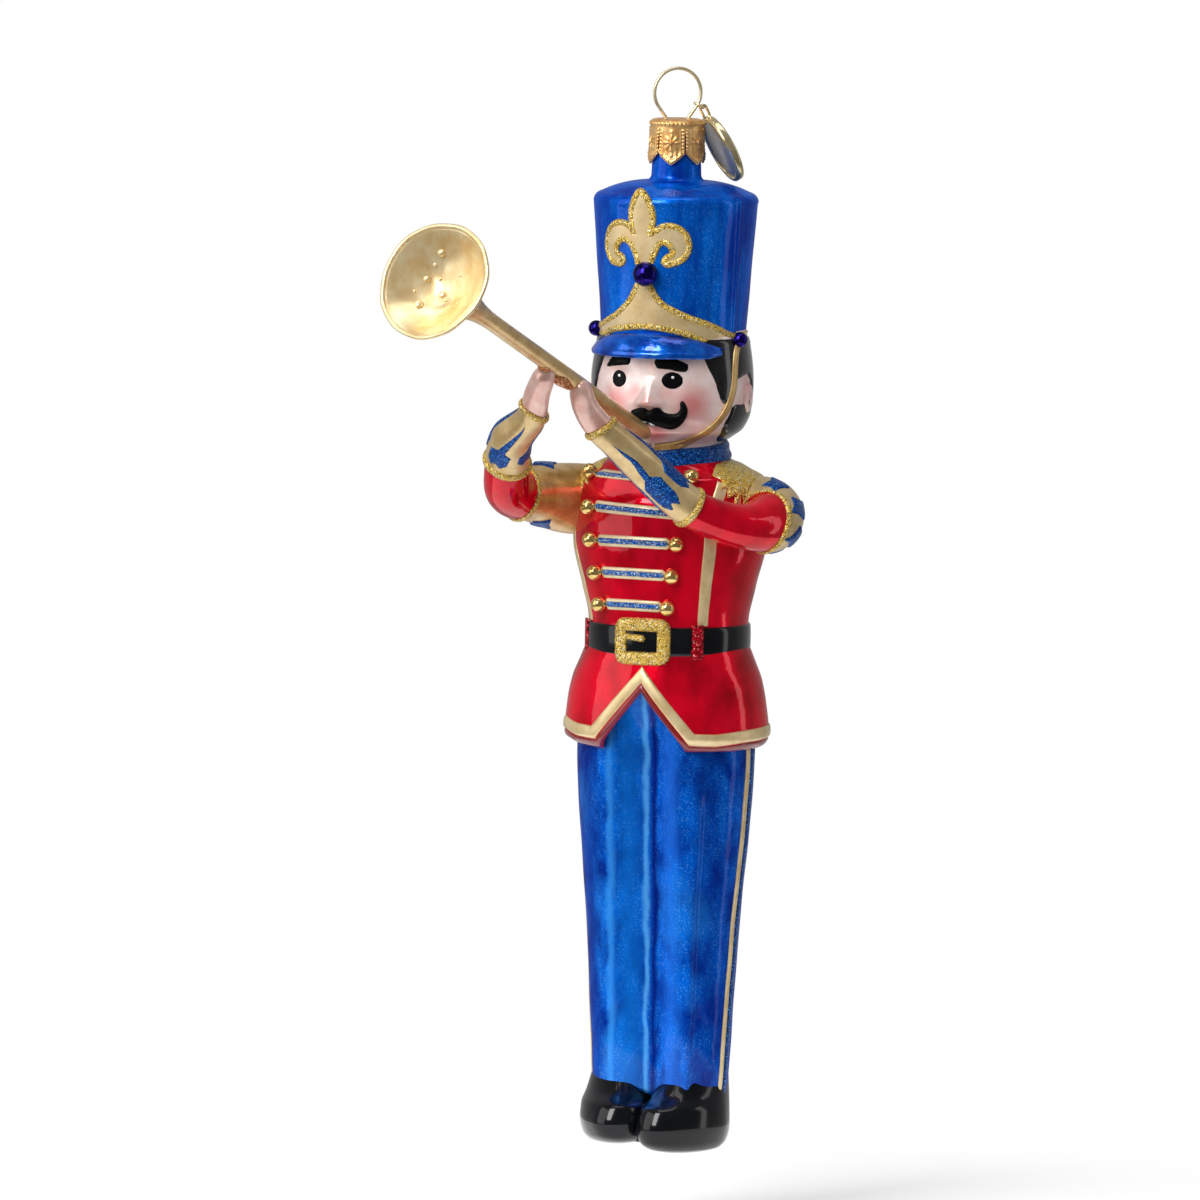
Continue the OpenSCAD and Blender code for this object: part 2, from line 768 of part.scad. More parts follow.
// Glass that joins the soles between the two boots
module boot_bridge() {
  skin([
    for (s = [0, 0.08, 0.25, 0.5, 0.7])
    let (z = mix(sole_z + 0.9, boot_z, s))
    [
      for (p = oval(z, boot_w * (0.36 - 0.3 * s * s), boot_len * (0.36 - 0.3 * s * s), 20))
      p - [0, smooth(boot_rows, s, 3) - 0.6, 0]
    ]
  ]);
}

module collar() {
  rotate_extrude($fn = 80)
    polygon([
      [0, chin_z],
      [neckline_d / 2 + collar_t - 0.2, chin_z],
      [neckline_d / 2 + collar_t, chin_z - 0.3],
      [neckline_d / 2 + 2 * collar_t, chin_z - collar_h + 0.9],
      [neckline_d / 2 + 1.5 * collar_t, chin_z - collar_h + 0.3],
      [0, chin_z - collar_h + 0.3]
    ]);
}

// Hollow of the body, one wall inside the skin
module hollow() {
  skin([for (z = body_levels) if (z > boot_z - 0.1) body_ring(z, 24, wall)]);
}

module glass_figure() {
  difference() {
    union() {
      color("royalblue") {
        hat_turned(0);
        visor();
      }
      color("pink") {
        body_skin();
        nose();
        ears();
        translate(lip_at)
          sphere(lip_r, $fn = 32);
      }
      color("black") {
        moustache();
        boot(-1);
        boot(1);
        boot_bridge();
        waist_band(belt_t, belt_h);
      }
      color("blue")
        collar();
      color("firebrick")
        coat_skirt();
      color("gold")
        buckle();
      color("darkred")
        belt_keeper();
    }
    hat_turned(wall);
    hollow();
    along_trumpet()
      horn_outside(seat_gap);
    side_bead(-1, seat_gap);
    side_bead(1, seat_gap);
  }
}

// ---- Trumpet ----

trumpet_way = [
  -sin(trumpet_turn) * cos(trumpet_slope),
  -cos(trumpet_turn) * cos(trumpet_slope),
  sin(trumpet_slope)
];
mouth_at = lip_at + (lip_r + seat_gap) * trumpet_way;

function tube_r_at(s) =
  mix(mouth_d, tube_d, min(1, s / (trumpet_len * left_grip))) / 2
  + (s < trumpet_len - flare_len ? 0 : (bell_d - tube_d) / 2 * pow((s - trumpet_len + flare_len) / flare_len, 2.8));

function grip(share) = mouth_at + share * trumpet_len * trumpet_way;

module along_trumpet() {
  translate(mouth_at)
    rotate([0, 90 - trumpet_slope, 180 + atan2(cos(trumpet_turn), sin(trumpet_turn))])
      children();
}

// Turned outside of the horn, with its mouth end at the origin
module horn_outside(grow = 0) {
  end_r = mouth_d / 2 + grow;
  straight = trumpet_len - flare_len;
  rotate_extrude($fn = 64)
    polygon(concat(
      [[0, -grow]],
      [for (a = [30:30:60]) [end_r * sin(a), end_r * (1 - cos(a)) - grow]],
      [for (s = [end_r, trumpet_len * left_grip, straight]) [tube_r_at(s) + grow, s]],
      [for (i = [1:11]) [tube_r_at(straight + flare_len * i / 12) + grow, straight + flare_len * i / 12]],
      [[bell_d / 2 + grow, trumpet_len], [0, trumpet_len]]
    ));
}

module trumpet() {
  dish_r = bell_d / 2 - lip_t;
  color("gold")
    along_trumpet()
      difference() {
        horn_outside();
        rotate_extrude($fn = 64)
          polygon(concat(
            [for (s = [0:0.125:1]) [dish_r * s, trumpet_len - dish_depth * pow(1 - s * s, 1.2)]],
            [[dish_r + lip_t / 3, trumpet_len + 0.01], [dish_r + lip_t / 3, trumpet_len + 1], [0, trumpet_len + 1]]
          ));
      }
}

// ---- Arms ----

shoulder_z = chin_z - shoulder_drop;

// Row of a forearm, as a share of its length from the palm
function arm_row(palm, share, r) = concat(palm + forearm * share, [r]);

// Rows of [x, y, z, radius] from inside the shoulder to the tip of the hand
function arm_rows(side) =
  side < 0
  ? let (out = chest_w / 2, far = right_reach, palm = grip(right_grip) + [0, 0, -tube_d / 2 - palm_depth])
    [
      [-(out - shoulder_root), 0.035 * far, shoulder_z - 0.02 * far, shoulder_r],
      [-(out + 0.15 * elbow_out), -0.16 * far, shoulder_z, shoulder_r],
      [-(out + 0.77 * elbow_out), -0.455 * far, shoulder_z + 0.05 * far, mix(shoulder_r, elbow_r, 0.5)],
      [-(out + elbow_out), -0.77 * far, shoulder_z + 0.07 * far, elbow_r],
      [-(out + 0.77 * elbow_out), -far, shoulder_z + 0.19 * far, mix(elbow_r, wrist_r, 0.16)],
      arm_row(palm, [-0.532, 0.556, -0.644], mix(elbow_r, wrist_r, 0.44)),
      arm_row(palm, [-0.26, 0.315, -0.407], wrist_r),
      arm_row(palm, [-0.148, 0.162, -0.194], hand_r),
      arm_row(palm, [-0.037, 0.028, -0.018], hand_r * 0.85),
      arm_row(palm, [-0.018, -0.023, 0.042], hand_r * 0.4)
    ]
  : let (out = chest_w / 2, far = left_reach, palm = grip(left_grip) + [palm_depth, -tube_d / 2 - palm_depth, -palm_depth])
    [
      [out - shoulder_root, 0.066 * far, shoulder_z - 0.075 * far, shoulder_r],
      [out + 0.038 * far, -0.019 * far, shoulder_z - 0.066 * far, shoulder_r],
      [out + 0.16 * far, -0.283 * far, shoulder_z - 0.132 * far, mix(shoulder_r, elbow_r, 0.5)],
      [out + 0.019 * far, -0.684 * far, shoulder_z - 0.142 * far, mix(elbow_r, wrist_r, 0.26)],
      [out - 0.32 * far, -far, shoulder_z + 0.028 * far, mix(elbow_r, wrist_r, 0.5)],
      arm_row(palm, [0.417, 0.556, -0.694], mix(elbow_r, wrist_r, 0.62)),
      arm_row(palm, [0.259, 0.394, -0.509], mix(elbow_r, wrist_r, 0.8)),
      arm_row(palm, [0.093, 0.231, -0.324], wrist_r),
      arm_row(palm, [0.009, 0.111, -0.148], hand_r),
      arm_row(palm, [-0.005, 0.014, 0.014], hand_r * 0.85),
      arm_row(palm, [-0.018, -0.018, 0.083], hand_r * 0.4)
    ];

module arm(side) {
  path = curve(arm_rows(side), 2);
  last = len(path) - 5;
  difference() {
    tube(path, 20);
    tube([for (k = [1:last]) path[k]], 12, -arm_wall);
    body_skin(inset = -seat_gap, low = skirt_z, high = chin_z + 1);
    along_trumpet()
      horn_outside(seat_gap);
  }
}

module right_arm() {
  color("goldenrod")
    arm(-1);
}

module left_arm() {
  color("firebrick")
    arm(1);
}

// ---- Glued beads and buttons ----

// Bead with a flat back on the plane z = 0
module bead(d, grow = 0) {
  intersection() {
    translate([0, 0, d * 0.3])
      sphere(d / 2 + grow, $fn = 36);
    translate([0, 0, -grow])
      cylinder(h = d + grow, r = d);
  }
}

module hat_bead(d, z, turn, grow = 0) {
  slope = atan2((hat_d - brim_d) / 2, hat_h);
  r = mix(brim_d, hat_d, (z - visor_z) / hat_h) / 2;
  rotate([0, 0, turn])
    translate([0, -r - seat_gap, z])
      rotate([90 + slope, 0, 0])
        bead(d, grow);
}

module front_bead() {
  color("navy")
    hat_bead(front_bead_d, edge_z - front_bead_drop, 0);
}

// Bead at one end of the hat band. The viewer's left is side -1.
module side_bead(side, grow = 0) {
  hat_bead(side_bead_d, visor_z + side_bead_rise - max(0, side) * side_bead_skew, side * side_bead_at, grow);
}

module right_bead() {
  color("navy")
    side_bead(-1);
}

module left_bead() {
  color("navy")
    side_bead(1);
}

// Button in a row, on the coat's own surface. The viewer's left is side -1.
module coat_button(row, side) {
  share = (row - 1) / (button_rows - 1);
  z = mix(chin_z - button_drop, belt_z + button_rise, share);
  reach = mix(button_top_x, button_low_x, share);
  x = button_mid_x + side * reach;
  a = smooth(body_rows, z, 1);
  b = smooth(body_rows, z, 2);
  turn = asin(x / a);
  y = -b * cos(turn);
  steps = 0.5;
  lean = atan2(b - smooth(body_rows, z + steps, 2), steps);
  way = atan2(x / (a * a), -y / (b * b));
  color("gold")
    translate([x, y, z])
      rotate([0, 0, way])
        rotate([90 - lean, 0, 0])
          translate([0, 0, seat_gap])
            bead(button_d);
}

hanger_wire();
crown_cap();
jump_ring();
charm_frame();
charm_plate();
glass_figure();
right_arm();
left_arm();
trumpet();
front_bead();
right_bead();
left_bead();
for (row = [1:button_rows]) {
  coat_button(row, 1);
  coat_button(row, -1);
}
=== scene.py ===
from math import acos, asin, atan2, cos, degrees, hypot, pi, radians, sin

import bpy
import numpy as np
from mathutils import Matrix, Vector
from mathutils.geometry import delaunay_2d_cdt


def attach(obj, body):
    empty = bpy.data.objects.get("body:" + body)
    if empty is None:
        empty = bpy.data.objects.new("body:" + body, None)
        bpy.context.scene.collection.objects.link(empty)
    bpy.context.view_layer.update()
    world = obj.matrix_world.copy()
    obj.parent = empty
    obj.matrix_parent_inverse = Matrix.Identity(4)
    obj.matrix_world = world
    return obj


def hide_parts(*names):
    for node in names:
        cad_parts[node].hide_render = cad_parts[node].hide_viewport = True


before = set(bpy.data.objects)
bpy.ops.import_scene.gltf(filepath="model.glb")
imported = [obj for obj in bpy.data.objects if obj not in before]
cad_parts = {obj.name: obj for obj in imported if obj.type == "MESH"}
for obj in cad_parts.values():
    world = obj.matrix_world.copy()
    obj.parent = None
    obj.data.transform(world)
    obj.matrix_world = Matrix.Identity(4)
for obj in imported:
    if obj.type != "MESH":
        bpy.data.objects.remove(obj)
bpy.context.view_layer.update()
bpy.ops.object.select_all(action="DESELECT")
MM = 0.001
TAU = 2 * pi

# ---------------------------------------------------------------- sizes, in millimetres
# Levels end in _Z and hang down from the loop's inside top, radii end in _R.

LOOP_R, WIRE_R, LOOP_Z = 4.625, 0.325, -4.30
LEG_GAP, LEG_TIP, LEG_LEN, SHOULDER = 2.3, 3.345, 15.0, 56
LOOP_TURN = 38.0
CAP_Z, CAP_H, CAP_R, CAP_FLARE, CAP_SHEET = -9.30, 8.5, 5.11, 0.3, 0.28
CAP_LOBES, LOBE_DEPTH, SLIT_LEN, SLIT_W = 6, 2.3, 3.6, 0.3
JUMP_R, JUMP_WIRE = 0.95, 0.25
CHARM_R, CHARM_T, BEZEL_W = 6.8, 1.7, 1.1
LUG_R, LUG_WIRE, LUG_LEN = 0.6, 0.25, 1.4
NECK_Z, HAT_Z, EDGE_Z, VISOR_Z, CHIN_Z = -9.63, -21.13, -23.93, -49.93, -70.93
BELT_Z, SKIRT_Z, HEM_Z, BOOT_Z, SOLE_Z = -105.13, -110.73, -128.93, -192.33, -205.73
HAT_TOP_R, HAT_LOW_R, NECK_R = 15.7, 13.8, 4.75
BRIM_DROP, BRIM_FLARE = 1.5, 0.9
WAIST_W, WAIST_D = 30.6, 29.0
CREASE_W, CREASE_TOP = 5.0, -126
BOOT_W, BOOT_L, BOOT_H = 14.4, 25.4, 13.4
BUTTON_D, BUTTON_MID = 2.9, -2.1
TRUMPET_LEN, BELL_D, TUBE_D, MOUTH_D, FLARE_LEN = 84.0, 23.4, 3.2, 2.8, 26.0
DISH_DEPTH, LIP_T = 6.5, 0.9
SHOULDER_Z, CHEST_W = CHIN_Z - 11.2, 18.7
CLIP_TRAVEL = 14.0
SEAM_TURN = 72
SINK = 0.06
RIPPLE, HAT_RIPPLE = 0.09, 0.07
HEAD_R, NOSE_X, NOSE_TOP, NOSE_LOW = 14.3, 0.55, -57.2, -63.3
# On each side of the face: height of the form, distance out, level, narrowing and width
# of the cheek, the eye's hollow and the brow.
FACE = ((0.4, 7, -63.4, 1, 3.6), (-0.35, 5.3, -58.0, 1, 2.3), (0.3, 5.3, -55.2, 0.5, 1.4))
GLASS, SLEEVE, GILDED = "lacquered_glass", "lacquered_sleeve_glass", "gilded_glass"
SHELL = ("glass_figure",)
HANDS = ((-1, "right"), (1, "left"))


def mix(a, b, t):
    return a + (b - a) * t


def circle(count, full=TAU):
    return np.linspace(0, full, count, endpoint=False)


def around(k, a, b, z):
    """Points at turn k of an upright oval with half widths a and b, 0 in front."""
    return np.stack(np.broadcast_arrays(a * np.sin(k), -b * np.cos(k), z), -1)


def ring_at(surface, turns, z):
    """A level ring of points on a surface."""
    return surface(turns, np.full_like(turns, z))


def point_on(surface, u, z):
    return surface(np.array([u]), np.array([z]))[0]


def spline(a, b, c, d, t):
    return (2 * b + (c - a) * t + (2 * a - 5 * b + 4 * c - d) * t * t
            + (3 * b - a - 3 * c + d) * t ** 3) / 2


def bump(d, width):
    return np.exp(-(d / width) ** 2)


def unit(v):
    return v / np.linalg.norm(v)


def ways(p):
    """Unit direction along a line of points."""
    way = np.gradient(p, axis=0)
    return way / np.linalg.norm(way, axis=1)[:, None]


# ---------------------------------------------------------------- smooth tables


def dense(rows, count=2400):
    """Samples a table of rows with a curve that keeps every column from overshooting."""
    rows = [tuple(float(x) for x in r) for r in rows]
    z = np.array([r[0] for r in rows])
    at = np.linspace(z[0], z[-1], count)
    out = [at]
    for c in range(1, len(rows[0])):
        y = np.array([r[c] for r in rows])
        d = np.diff(y) / np.diff(z)
        m = np.zeros(len(y))
        m[0], m[-1] = d[0], d[-1]
        for i in range(1, len(y) - 1):
            m[i] = 0 if d[i - 1] * d[i] <= 0 else 2 * d[i - 1] * d[i] / (d[i - 1] + d[i])
        k = np.clip(np.searchsorted(z, at, side="right") - 1, 0, len(z) - 2)
        w = (z[k + 1] - z[k])
        s = (at - z[k]) / w
        out.append(y[k] * (1 + 2 * s) * (1 - s) ** 2 + m[k] * w * s * (1 - s) ** 2
                   + y[k + 1] * s * s * (3 - 2 * s) - m[k + 1] * w * s * s * (1 - s))
    return out


def look(table, at, column):
    """A column of a dense table, read at places along it."""
    return np.interp(at, table[0], table[column])


BODY = dense([
    (SOLE_Z + BOOT_H * 0.45, 12.6, 10.4, 0.34),
    (BOOT_Z, 13.2, 10.8, 0.34),
    (mix(BOOT_Z, HEM_Z, 0.45), 14.758, 12.16, 0.34),
    (HEM_Z, 17.3, 14.2, 0.306),
    (mix(HEM_Z, SKIRT_Z, 0.6), 16.5, 14.32, 0.136),
    (SKIRT_Z, 15.3, 14.5, 0),
    (BELT_Z, 15.3, 14.5, 0),
    (mix(BELT_Z, CHIN_Z, 0.2), 16.728, 15.1, 0),
    (mix(BELT_Z, CHIN_Z, 0.45), CHEST_W, 15.7, 0),
    (SHOULDER_Z, CHEST_W, 15.3, 0),
    (CHIN_Z - 6.2, 17.7, 13.5, 0),
    (CHIN_Z - 4.6, 14.9, 11.5, 0),
    (CHIN_Z - 3.2, 12.0, 11.0, 0),
    (CHIN_Z - 2.4, 10.0, 10.0, 0),
    (CHIN_Z, 10.0, 10.0, 0),
    (mix(CHIN_Z, VISOR_Z, 0.14), 13.224, 13.268, 0),
    (mix(CHIN_Z, VISOR_Z, 0.3), 14.68, 14.128, 0),
    (mix(CHIN_Z, VISOR_Z, 0.56), 15.2, 14.3, 0),
    (VISOR_Z, 14.1, 13.6, 0),
    (VISOR_Z + 3, 13.0, 13.0, 0),
])
SKIRT = dense([
    (HEM_Z, 16.7, 13.6),
    (HEM_Z + 0.2, 18.4, 15.0),
    (HEM_Z + 3, 19.8, 16.4),
    (mix(HEM_Z, SKIRT_Z, 0.48), 19.215, 16.172),
    (mix(HEM_Z, SKIRT_Z, 0.72), 18.27, 15.792),
    (mix(HEM_Z, SKIRT_Z, 0.9), 16.92, 15.222),
    (SKIRT_Z + 2.8, 15.0, 14.2),
])


def ripple(u, z, size):
    """Slow unevenness of mouth-blown glass."""
    k = np.radians(u)
    return size * (np.sin(2 * k + z * 0.13) + 0.6 * np.sin(3 * k - z * 0.31 + 1)
                   + 0.5 * np.sin(5 * k + z * 0.53 + 2)) / 2


def body(u, z, out=0.0):
    """Point on the blown body at turn u (0 in front, 90 to the viewer's right) and height z."""
    a, b, c = (look(BODY, z, i) for i in (1, 2, 3))
    k = np.radians(u)
    dent = 1 - c * bump(a * np.sin(k), CREASE_W)
    out = out + ripple(u, z, RIPPLE)
    return np.stack(np.broadcast_arrays((a + out) * np.sin(k), -(b + out) * np.cos(k) * dent, z),
                    -1)


def head(u, z, out=0.0):
    """The face: nose, cheeks, eye hollows, lips and chin on the blown head."""
    front = np.cos(np.radians(u)) > 0.2
    x = HEAD_R * np.sin(np.radians(u))
    ramp = np.clip((NOSE_TOP - z) / 5.0, 0, 1) ** 1.3
    ramp = ramp * (1 - 1 / (1 + np.exp((z - NOSE_LOW) / 0.32)))
    wide = 1.05 + 0.75 * np.clip((NOSE_TOP - 0.3 - z) / 5.0, 0, 1) ** 2
    form = 2.35 * ramp * bump(x - NOSE_X, wide)
    for side in (-1, 1):
        form = form + 0.5 * ramp * bump(np.hypot(x - NOSE_X - side * 1.75, z + 62.4), 0.95)
        for size, dx, dz, shrink, width in FACE:
            form = form + size * bump(np.hypot((x - side * dx) * shrink, z - dz), width)
    for size, dz, shrink, width in ((0.55, -69.2, 0.8, 2.2), (0.35, -67.0, 0.6, 1.2)):
        form = form + size * bump(np.hypot(x * shrink, z - dz), width)
    return body(u, z, out + form * front)


def legs(u, z, out=0.0):
    """Trousers, with a pressed crease on each leg."""
    fade = np.clip((CREASE_TOP - z) / 14, 0, 1)
    ridge = 0.6 * fade * sum(bump(u - crease, 4.5) for crease in (-27, 38, -152, 152))
    ridge = ridge - 0.35 * fade * (bump(u + 36, 6) + bump(u - 47, 6))
    return body(u, z, out + ridge)


def hat(u, z, out=0.0):
    """Side of the hat, with the seam that the mould leaves."""
    seam = 0.3 * bump(u - SEAM_TURN + (z - EDGE_Z) * 0.1, 2.2)
    r = mix(HAT_LOW_R, HAT_TOP_R, (z - VISOR_Z) / (EDGE_Z - VISOR_Z)) + out + seam
    r = r + ripple(u, z, HAT_RIPPLE)
    return around(np.radians(u), r, r, z)


def skirt(u, z, out=0.0):
    """Outside of the coat's flared skirt."""
    out = out + ripple(u, z, RIPPLE)
    return around(np.radians(u), look(SKIRT, z, 1) + out, look(SKIRT, z, 2) + out, z)


def waist(u, z, out=0.0):
    """Upright oval under the belt."""
    return around(np.radians(u), WAIST_W / 2 + out, WAIST_D / 2 + out, z)


def throat(u, z, out=0.0):
    """Cone under the collar, which dips a little in front."""
    k = np.radians(u)
    r = 10.6 + 0.25 * (CHIN_Z - z) + out
    return around(k, r, r, z - 0.9 * np.cos(k) + 0.25)


# ---------------------------------------------------------------- trumpet and arms

SLOPE, TURN = radians(23.5), radians(11.9)
WAY = np.array([-sin(TURN) * cos(SLOPE), -cos(TURN) * cos(SLOPE),
                sin(SLOPE)])
SIDE = unit(np.cross([0, 0, 1], WAY))
OVER = np.cross(WAY, SIDE)
MOUTH_Z = mix(CHIN_Z, VISOR_Z, 0.077)
MOUTH = np.array([-0.1, -float(look(BODY, MOUTH_Z, 2)) + 1, MOUTH_Z]) + 1.85 * WAY


RIGHT_GRIP, LEFT_GRIP = 0.47, 0.31


def grip(share):
    """Point on the trumpet's axis at a share of its length."""
    return MOUTH + share * TRUMPET_LEN * WAY


def axial(along, a, b, origin=MOUTH):
    """Points along and beside the trumpet's own axis."""
    along, a, b = (v[..., None] for v in np.broadcast_arrays(along, a, b))
    return origin + along * WAY + a * SIDE + b * OVER


def wobble(k):
    """Unevenness of the drawn bell."""
    return 0.009 * np.sin(3 * k + 0.6) + 0.006 * np.sin(5 * k + 2) + 0.004 * np.sin(11 * k)


def horn(u, s, out=0.0):
    """Outside of the horn at turn u and distance s from the mouth end."""
    t = np.clip((s - TRUMPET_LEN + FLARE_LEN) / FLARE_LEN, 0, 1)
    r = mix(MOUTH_D, TUBE_D, np.minimum(1, s / (TRUMPET_LEN * 0.31))) / 2
    r = r + (BELL_D - TUBE_D) / 2 * t ** 2.8
    k = np.radians(u)
    r = r * (1 + t ** 3 * wobble(k)) - 0.1 * t + out
    return axial(s, r * np.cos(k), r * np.sin(k))


def arm_rows(side):
    """Points of an arm's middle line with its radius: from the shoulder, then to the hand at p."""
    c = CHEST_W
    if side < 0:
        p = grip(RIGHT_GRIP) + np.array([0, 0, -2.2])
        near = ((-(c - 5), 1, -0.6, 6.7), (-(c + 0.8), -4.6, 0, 6.7), (-(c + 4), -13, 1.4, 5.7),
                (-(c + 5.2), -22, 2, 4.7), (-(c + 4), -28.6, 5.4, 4.4))
        far = ((-11.5, 12, -13.9, 3.864), (-5.6, 6.8, -8.8, 2.8), (-3.2, 3.5, -4.2, 2.5),
               (-0.8, 0.6, -0.4, 2.125), (-0.4, -0.5, 0.9, 1.0))
    else:
        p = grip(LEFT_GRIP) + np.array([0.6, -2.2, -0.6])
        near = ((c - 5, 1.4, -1.6, 6.7), (c + 0.8, -0.4, -1.4, 6.7), (c + 3.4, -6, -2.8, 5.7),
                (c + 0.4, -14.5, -3, 4.2), (c - 6.8, -21.2, 0.6, 3.75))
        far = ((9, 12, -15, 3.522), (5.6, 8.5, -11, 3.18), (2, 5, -7, 2.8), (0.2, 2.4, -3.2, 2.5),
               (-0.1, 0.3, 0.3, 2.125), (-0.4, -0.4, 1.8, 1.0))
    rows = [(x, y, SHOULDER_Z + z, r) for x, y, z, r in near]
    return rows + [(p[0] + x, p[1] + y, p[2] + z, r) for x, y, z, r in far]


def arm_table(side):
    p = np.array(arm_rows(side))
    n = len(p) - 1
    steps = np.linspace(0, n, 1200)
    i = np.minimum(steps.astype(int), n - 1)
    t = (steps - i)[:, None]
    a, b, c, d = p[np.maximum(i - 1, 0)], p[i], p[i + 1], p[np.minimum(i + 2, n)]
    q = spline(a, b, c, d, t)
    way = ways(q[:, :3])
    across = np.cross(way, [0, 0, 1])
    across /= np.linalg.norm(across, axis=1)[:, None]
    return steps, q, across, np.cross(way, across)


def arm(side):
    """Surface of an arm, at turn u and at place s counted in points of its middle line."""
    steps, q, across, over = arm_table(side)

    def place(u, s, out=0.0):
        u, s, out = np.broadcast_arrays(*(np.asarray(v, float) for v in (u, s, out)))
        get = lambda a: np.stack([np.interp(s, steps, c) for c in a.T], -1)
        m, v, w, k = get(q), get(across), get(over), np.radians(u)
        r = (m[..., 3] + out + 0.05 * np.sin(3 * k + s * 2.1))[..., None]
        return m[..., :3] + r * (np.cos(k)[..., None] * v + np.sin(k)[..., None] * w)

    return place


# ---------------------------------------------------------------- looks


def colour(r, g, b):
    f = lambda c: c / 12.92 if c <= 0.04045 else ((c + 0.055) / 1.055) ** 2.4
    return (f(r / 255), f(g / 255), f(b / 255), 1)


class Nodes:
    """Short ways to build a node tree."""

    def __init__(self, tree):
        self.t = tree

    def plug(self, socket, value):
        if isinstance(value, bpy.types.NodeSocket):
            self.t.links.new(value, socket)
        else:
            socket.default_value = value

    def node(self, kind, ins=(), **props):
        n = self.t.nodes.new("ShaderNode" + kind)
        for k, v in props.items():
            setattr(n, k, v)
        for k, v in dict(ins).items():
            self.plug(n.inputs[k], v)
        return n

    def math(self, how, *values):
        return self.node("Math", enumerate(values), operation=how).outputs[0]

    def times(self, a, b):
        return self.math("MULTIPLY", a, b)

    def vector(self, how, *values):
        return self.node("VectorMath", enumerate(values), operation=how)

    def ramp(self, fac, *stops):
        """Grey ramp through stops of (position, value)."""
        n = self.node("ValToRGB", {"Fac": fac})
        e = n.color_ramp.elements
        while len(e) < len(stops):
            e.new(0.5)
        for i, (place, c) in enumerate(stops):
            e[i].position = place
            e[i].color = (c, c, c, 1)
        return n.outputs["Color"]

    def fade(self, value, start, end):
        """0 at start, 1 at end, smooth between them."""
        return self.node("MapRange", {"Value": value, "From Min": start, "From Max": end},
                         interpolation_type="SMOOTHSTEP").outputs[0]


class Look(Nodes):
    """A procedural material built around one Principled shader."""

    def __init__(self, name, **sockets):
        self.m = bpy.data.materials.new(name)
        self.m.use_nodes = True
        super().__init__(self.m.node_tree)
        self.s = self.t.nodes["Principled BSDF"]
        self.co = self.node("TexCoord").outputs["Object"]
        for k, v in sockets.items():
            self.s.inputs[k.replace("_", " ")].default_value = v

    def set(self, socket, value):
        self.t.links.new(value, self.s.inputs[socket])

    def noise(self, scale, detail=2.0, rough=0.5, stretch=None):
        """Noise over the object, drawn out along the upright axis when stretch is given."""
        place = self.stretched(1, 1, 1 / stretch) if stretch else self.co
        return self.node("TexNoise", {"Vector": place, "Scale": scale, "Detail": detail,
                                      "Roughness": rough}).outputs["Fac"]

    def stretched(self, *scale):
        return self.node("Mapping", {"Vector": self.co, "Scale": scale}).outputs[0]

    def cells(self, scale):
        """Voronoi cells, with the three parts of their random colour."""
        n = self.node("TexVoronoi", {"Vector": self.co, "Scale": scale})
        return n, self.node("SeparateColor", {"Color": n.outputs["Color"]}).outputs

    def blend(self, fac, a, b):
        """Mixes two colours, each a socket or three numbers up to 255."""
        n = self.node("Mix", data_type="RGBA")
        for i, v in ((0, fac), (6, a), (7, b)):
            self.plug(n.inputs[i], colour(*v) if isinstance(v, tuple) else v)
        return n.outputs[2]

    def near(self, point, radius, soft):
        """1 close to a point given in millimetres, 0 beyond radius."""
        d = self.vector("DISTANCE", self.co, tuple(x * MM for x in point)).outputs["Value"]
        return self.fade(d, radius * MM, radius * MM * (1 - soft))

    def strip(self, x, wide, wander):
        """1 along an upright line on the front at x, 0 beyond wide, with a wandering edge: the mask
        of a painted fold highlight or painted fold shade.
        """
        place = self.node("SeparateXYZ", {0: self.co})
        off = self.times(self.math("SUBTRACT", wander, 0.5), 2.4 * MM)
        off = self.math("SUBTRACT", self.math("ADD", place.outputs[0], off), x * MM)
        near = self.fade(self.math("ABSOLUTE", off), wide * MM, 0.0)
        return self.times(near, self.math("LESS_THAN", place.outputs[1], 0.0))

    def bump(self, height, strength, distance, normal=None):
        ins = {"Height": height, "Strength": strength, "Distance": distance * MM}
        if normal is not None:
            ins["Normal"] = normal
        return self.node("Bump", ins).outputs["Normal"]

    def cloudy(self, cloud, low, high, deep, light):
        return self.blend(self.ramp(cloud, (low, 0.0), (high, 1.0)), deep, light)

    def rough(self, grain, share, least):
        """Roughness that runs from least upwards by a share of the grain."""
        self.set("Roughness", self.math("ADD", self.times(grain, share), least))


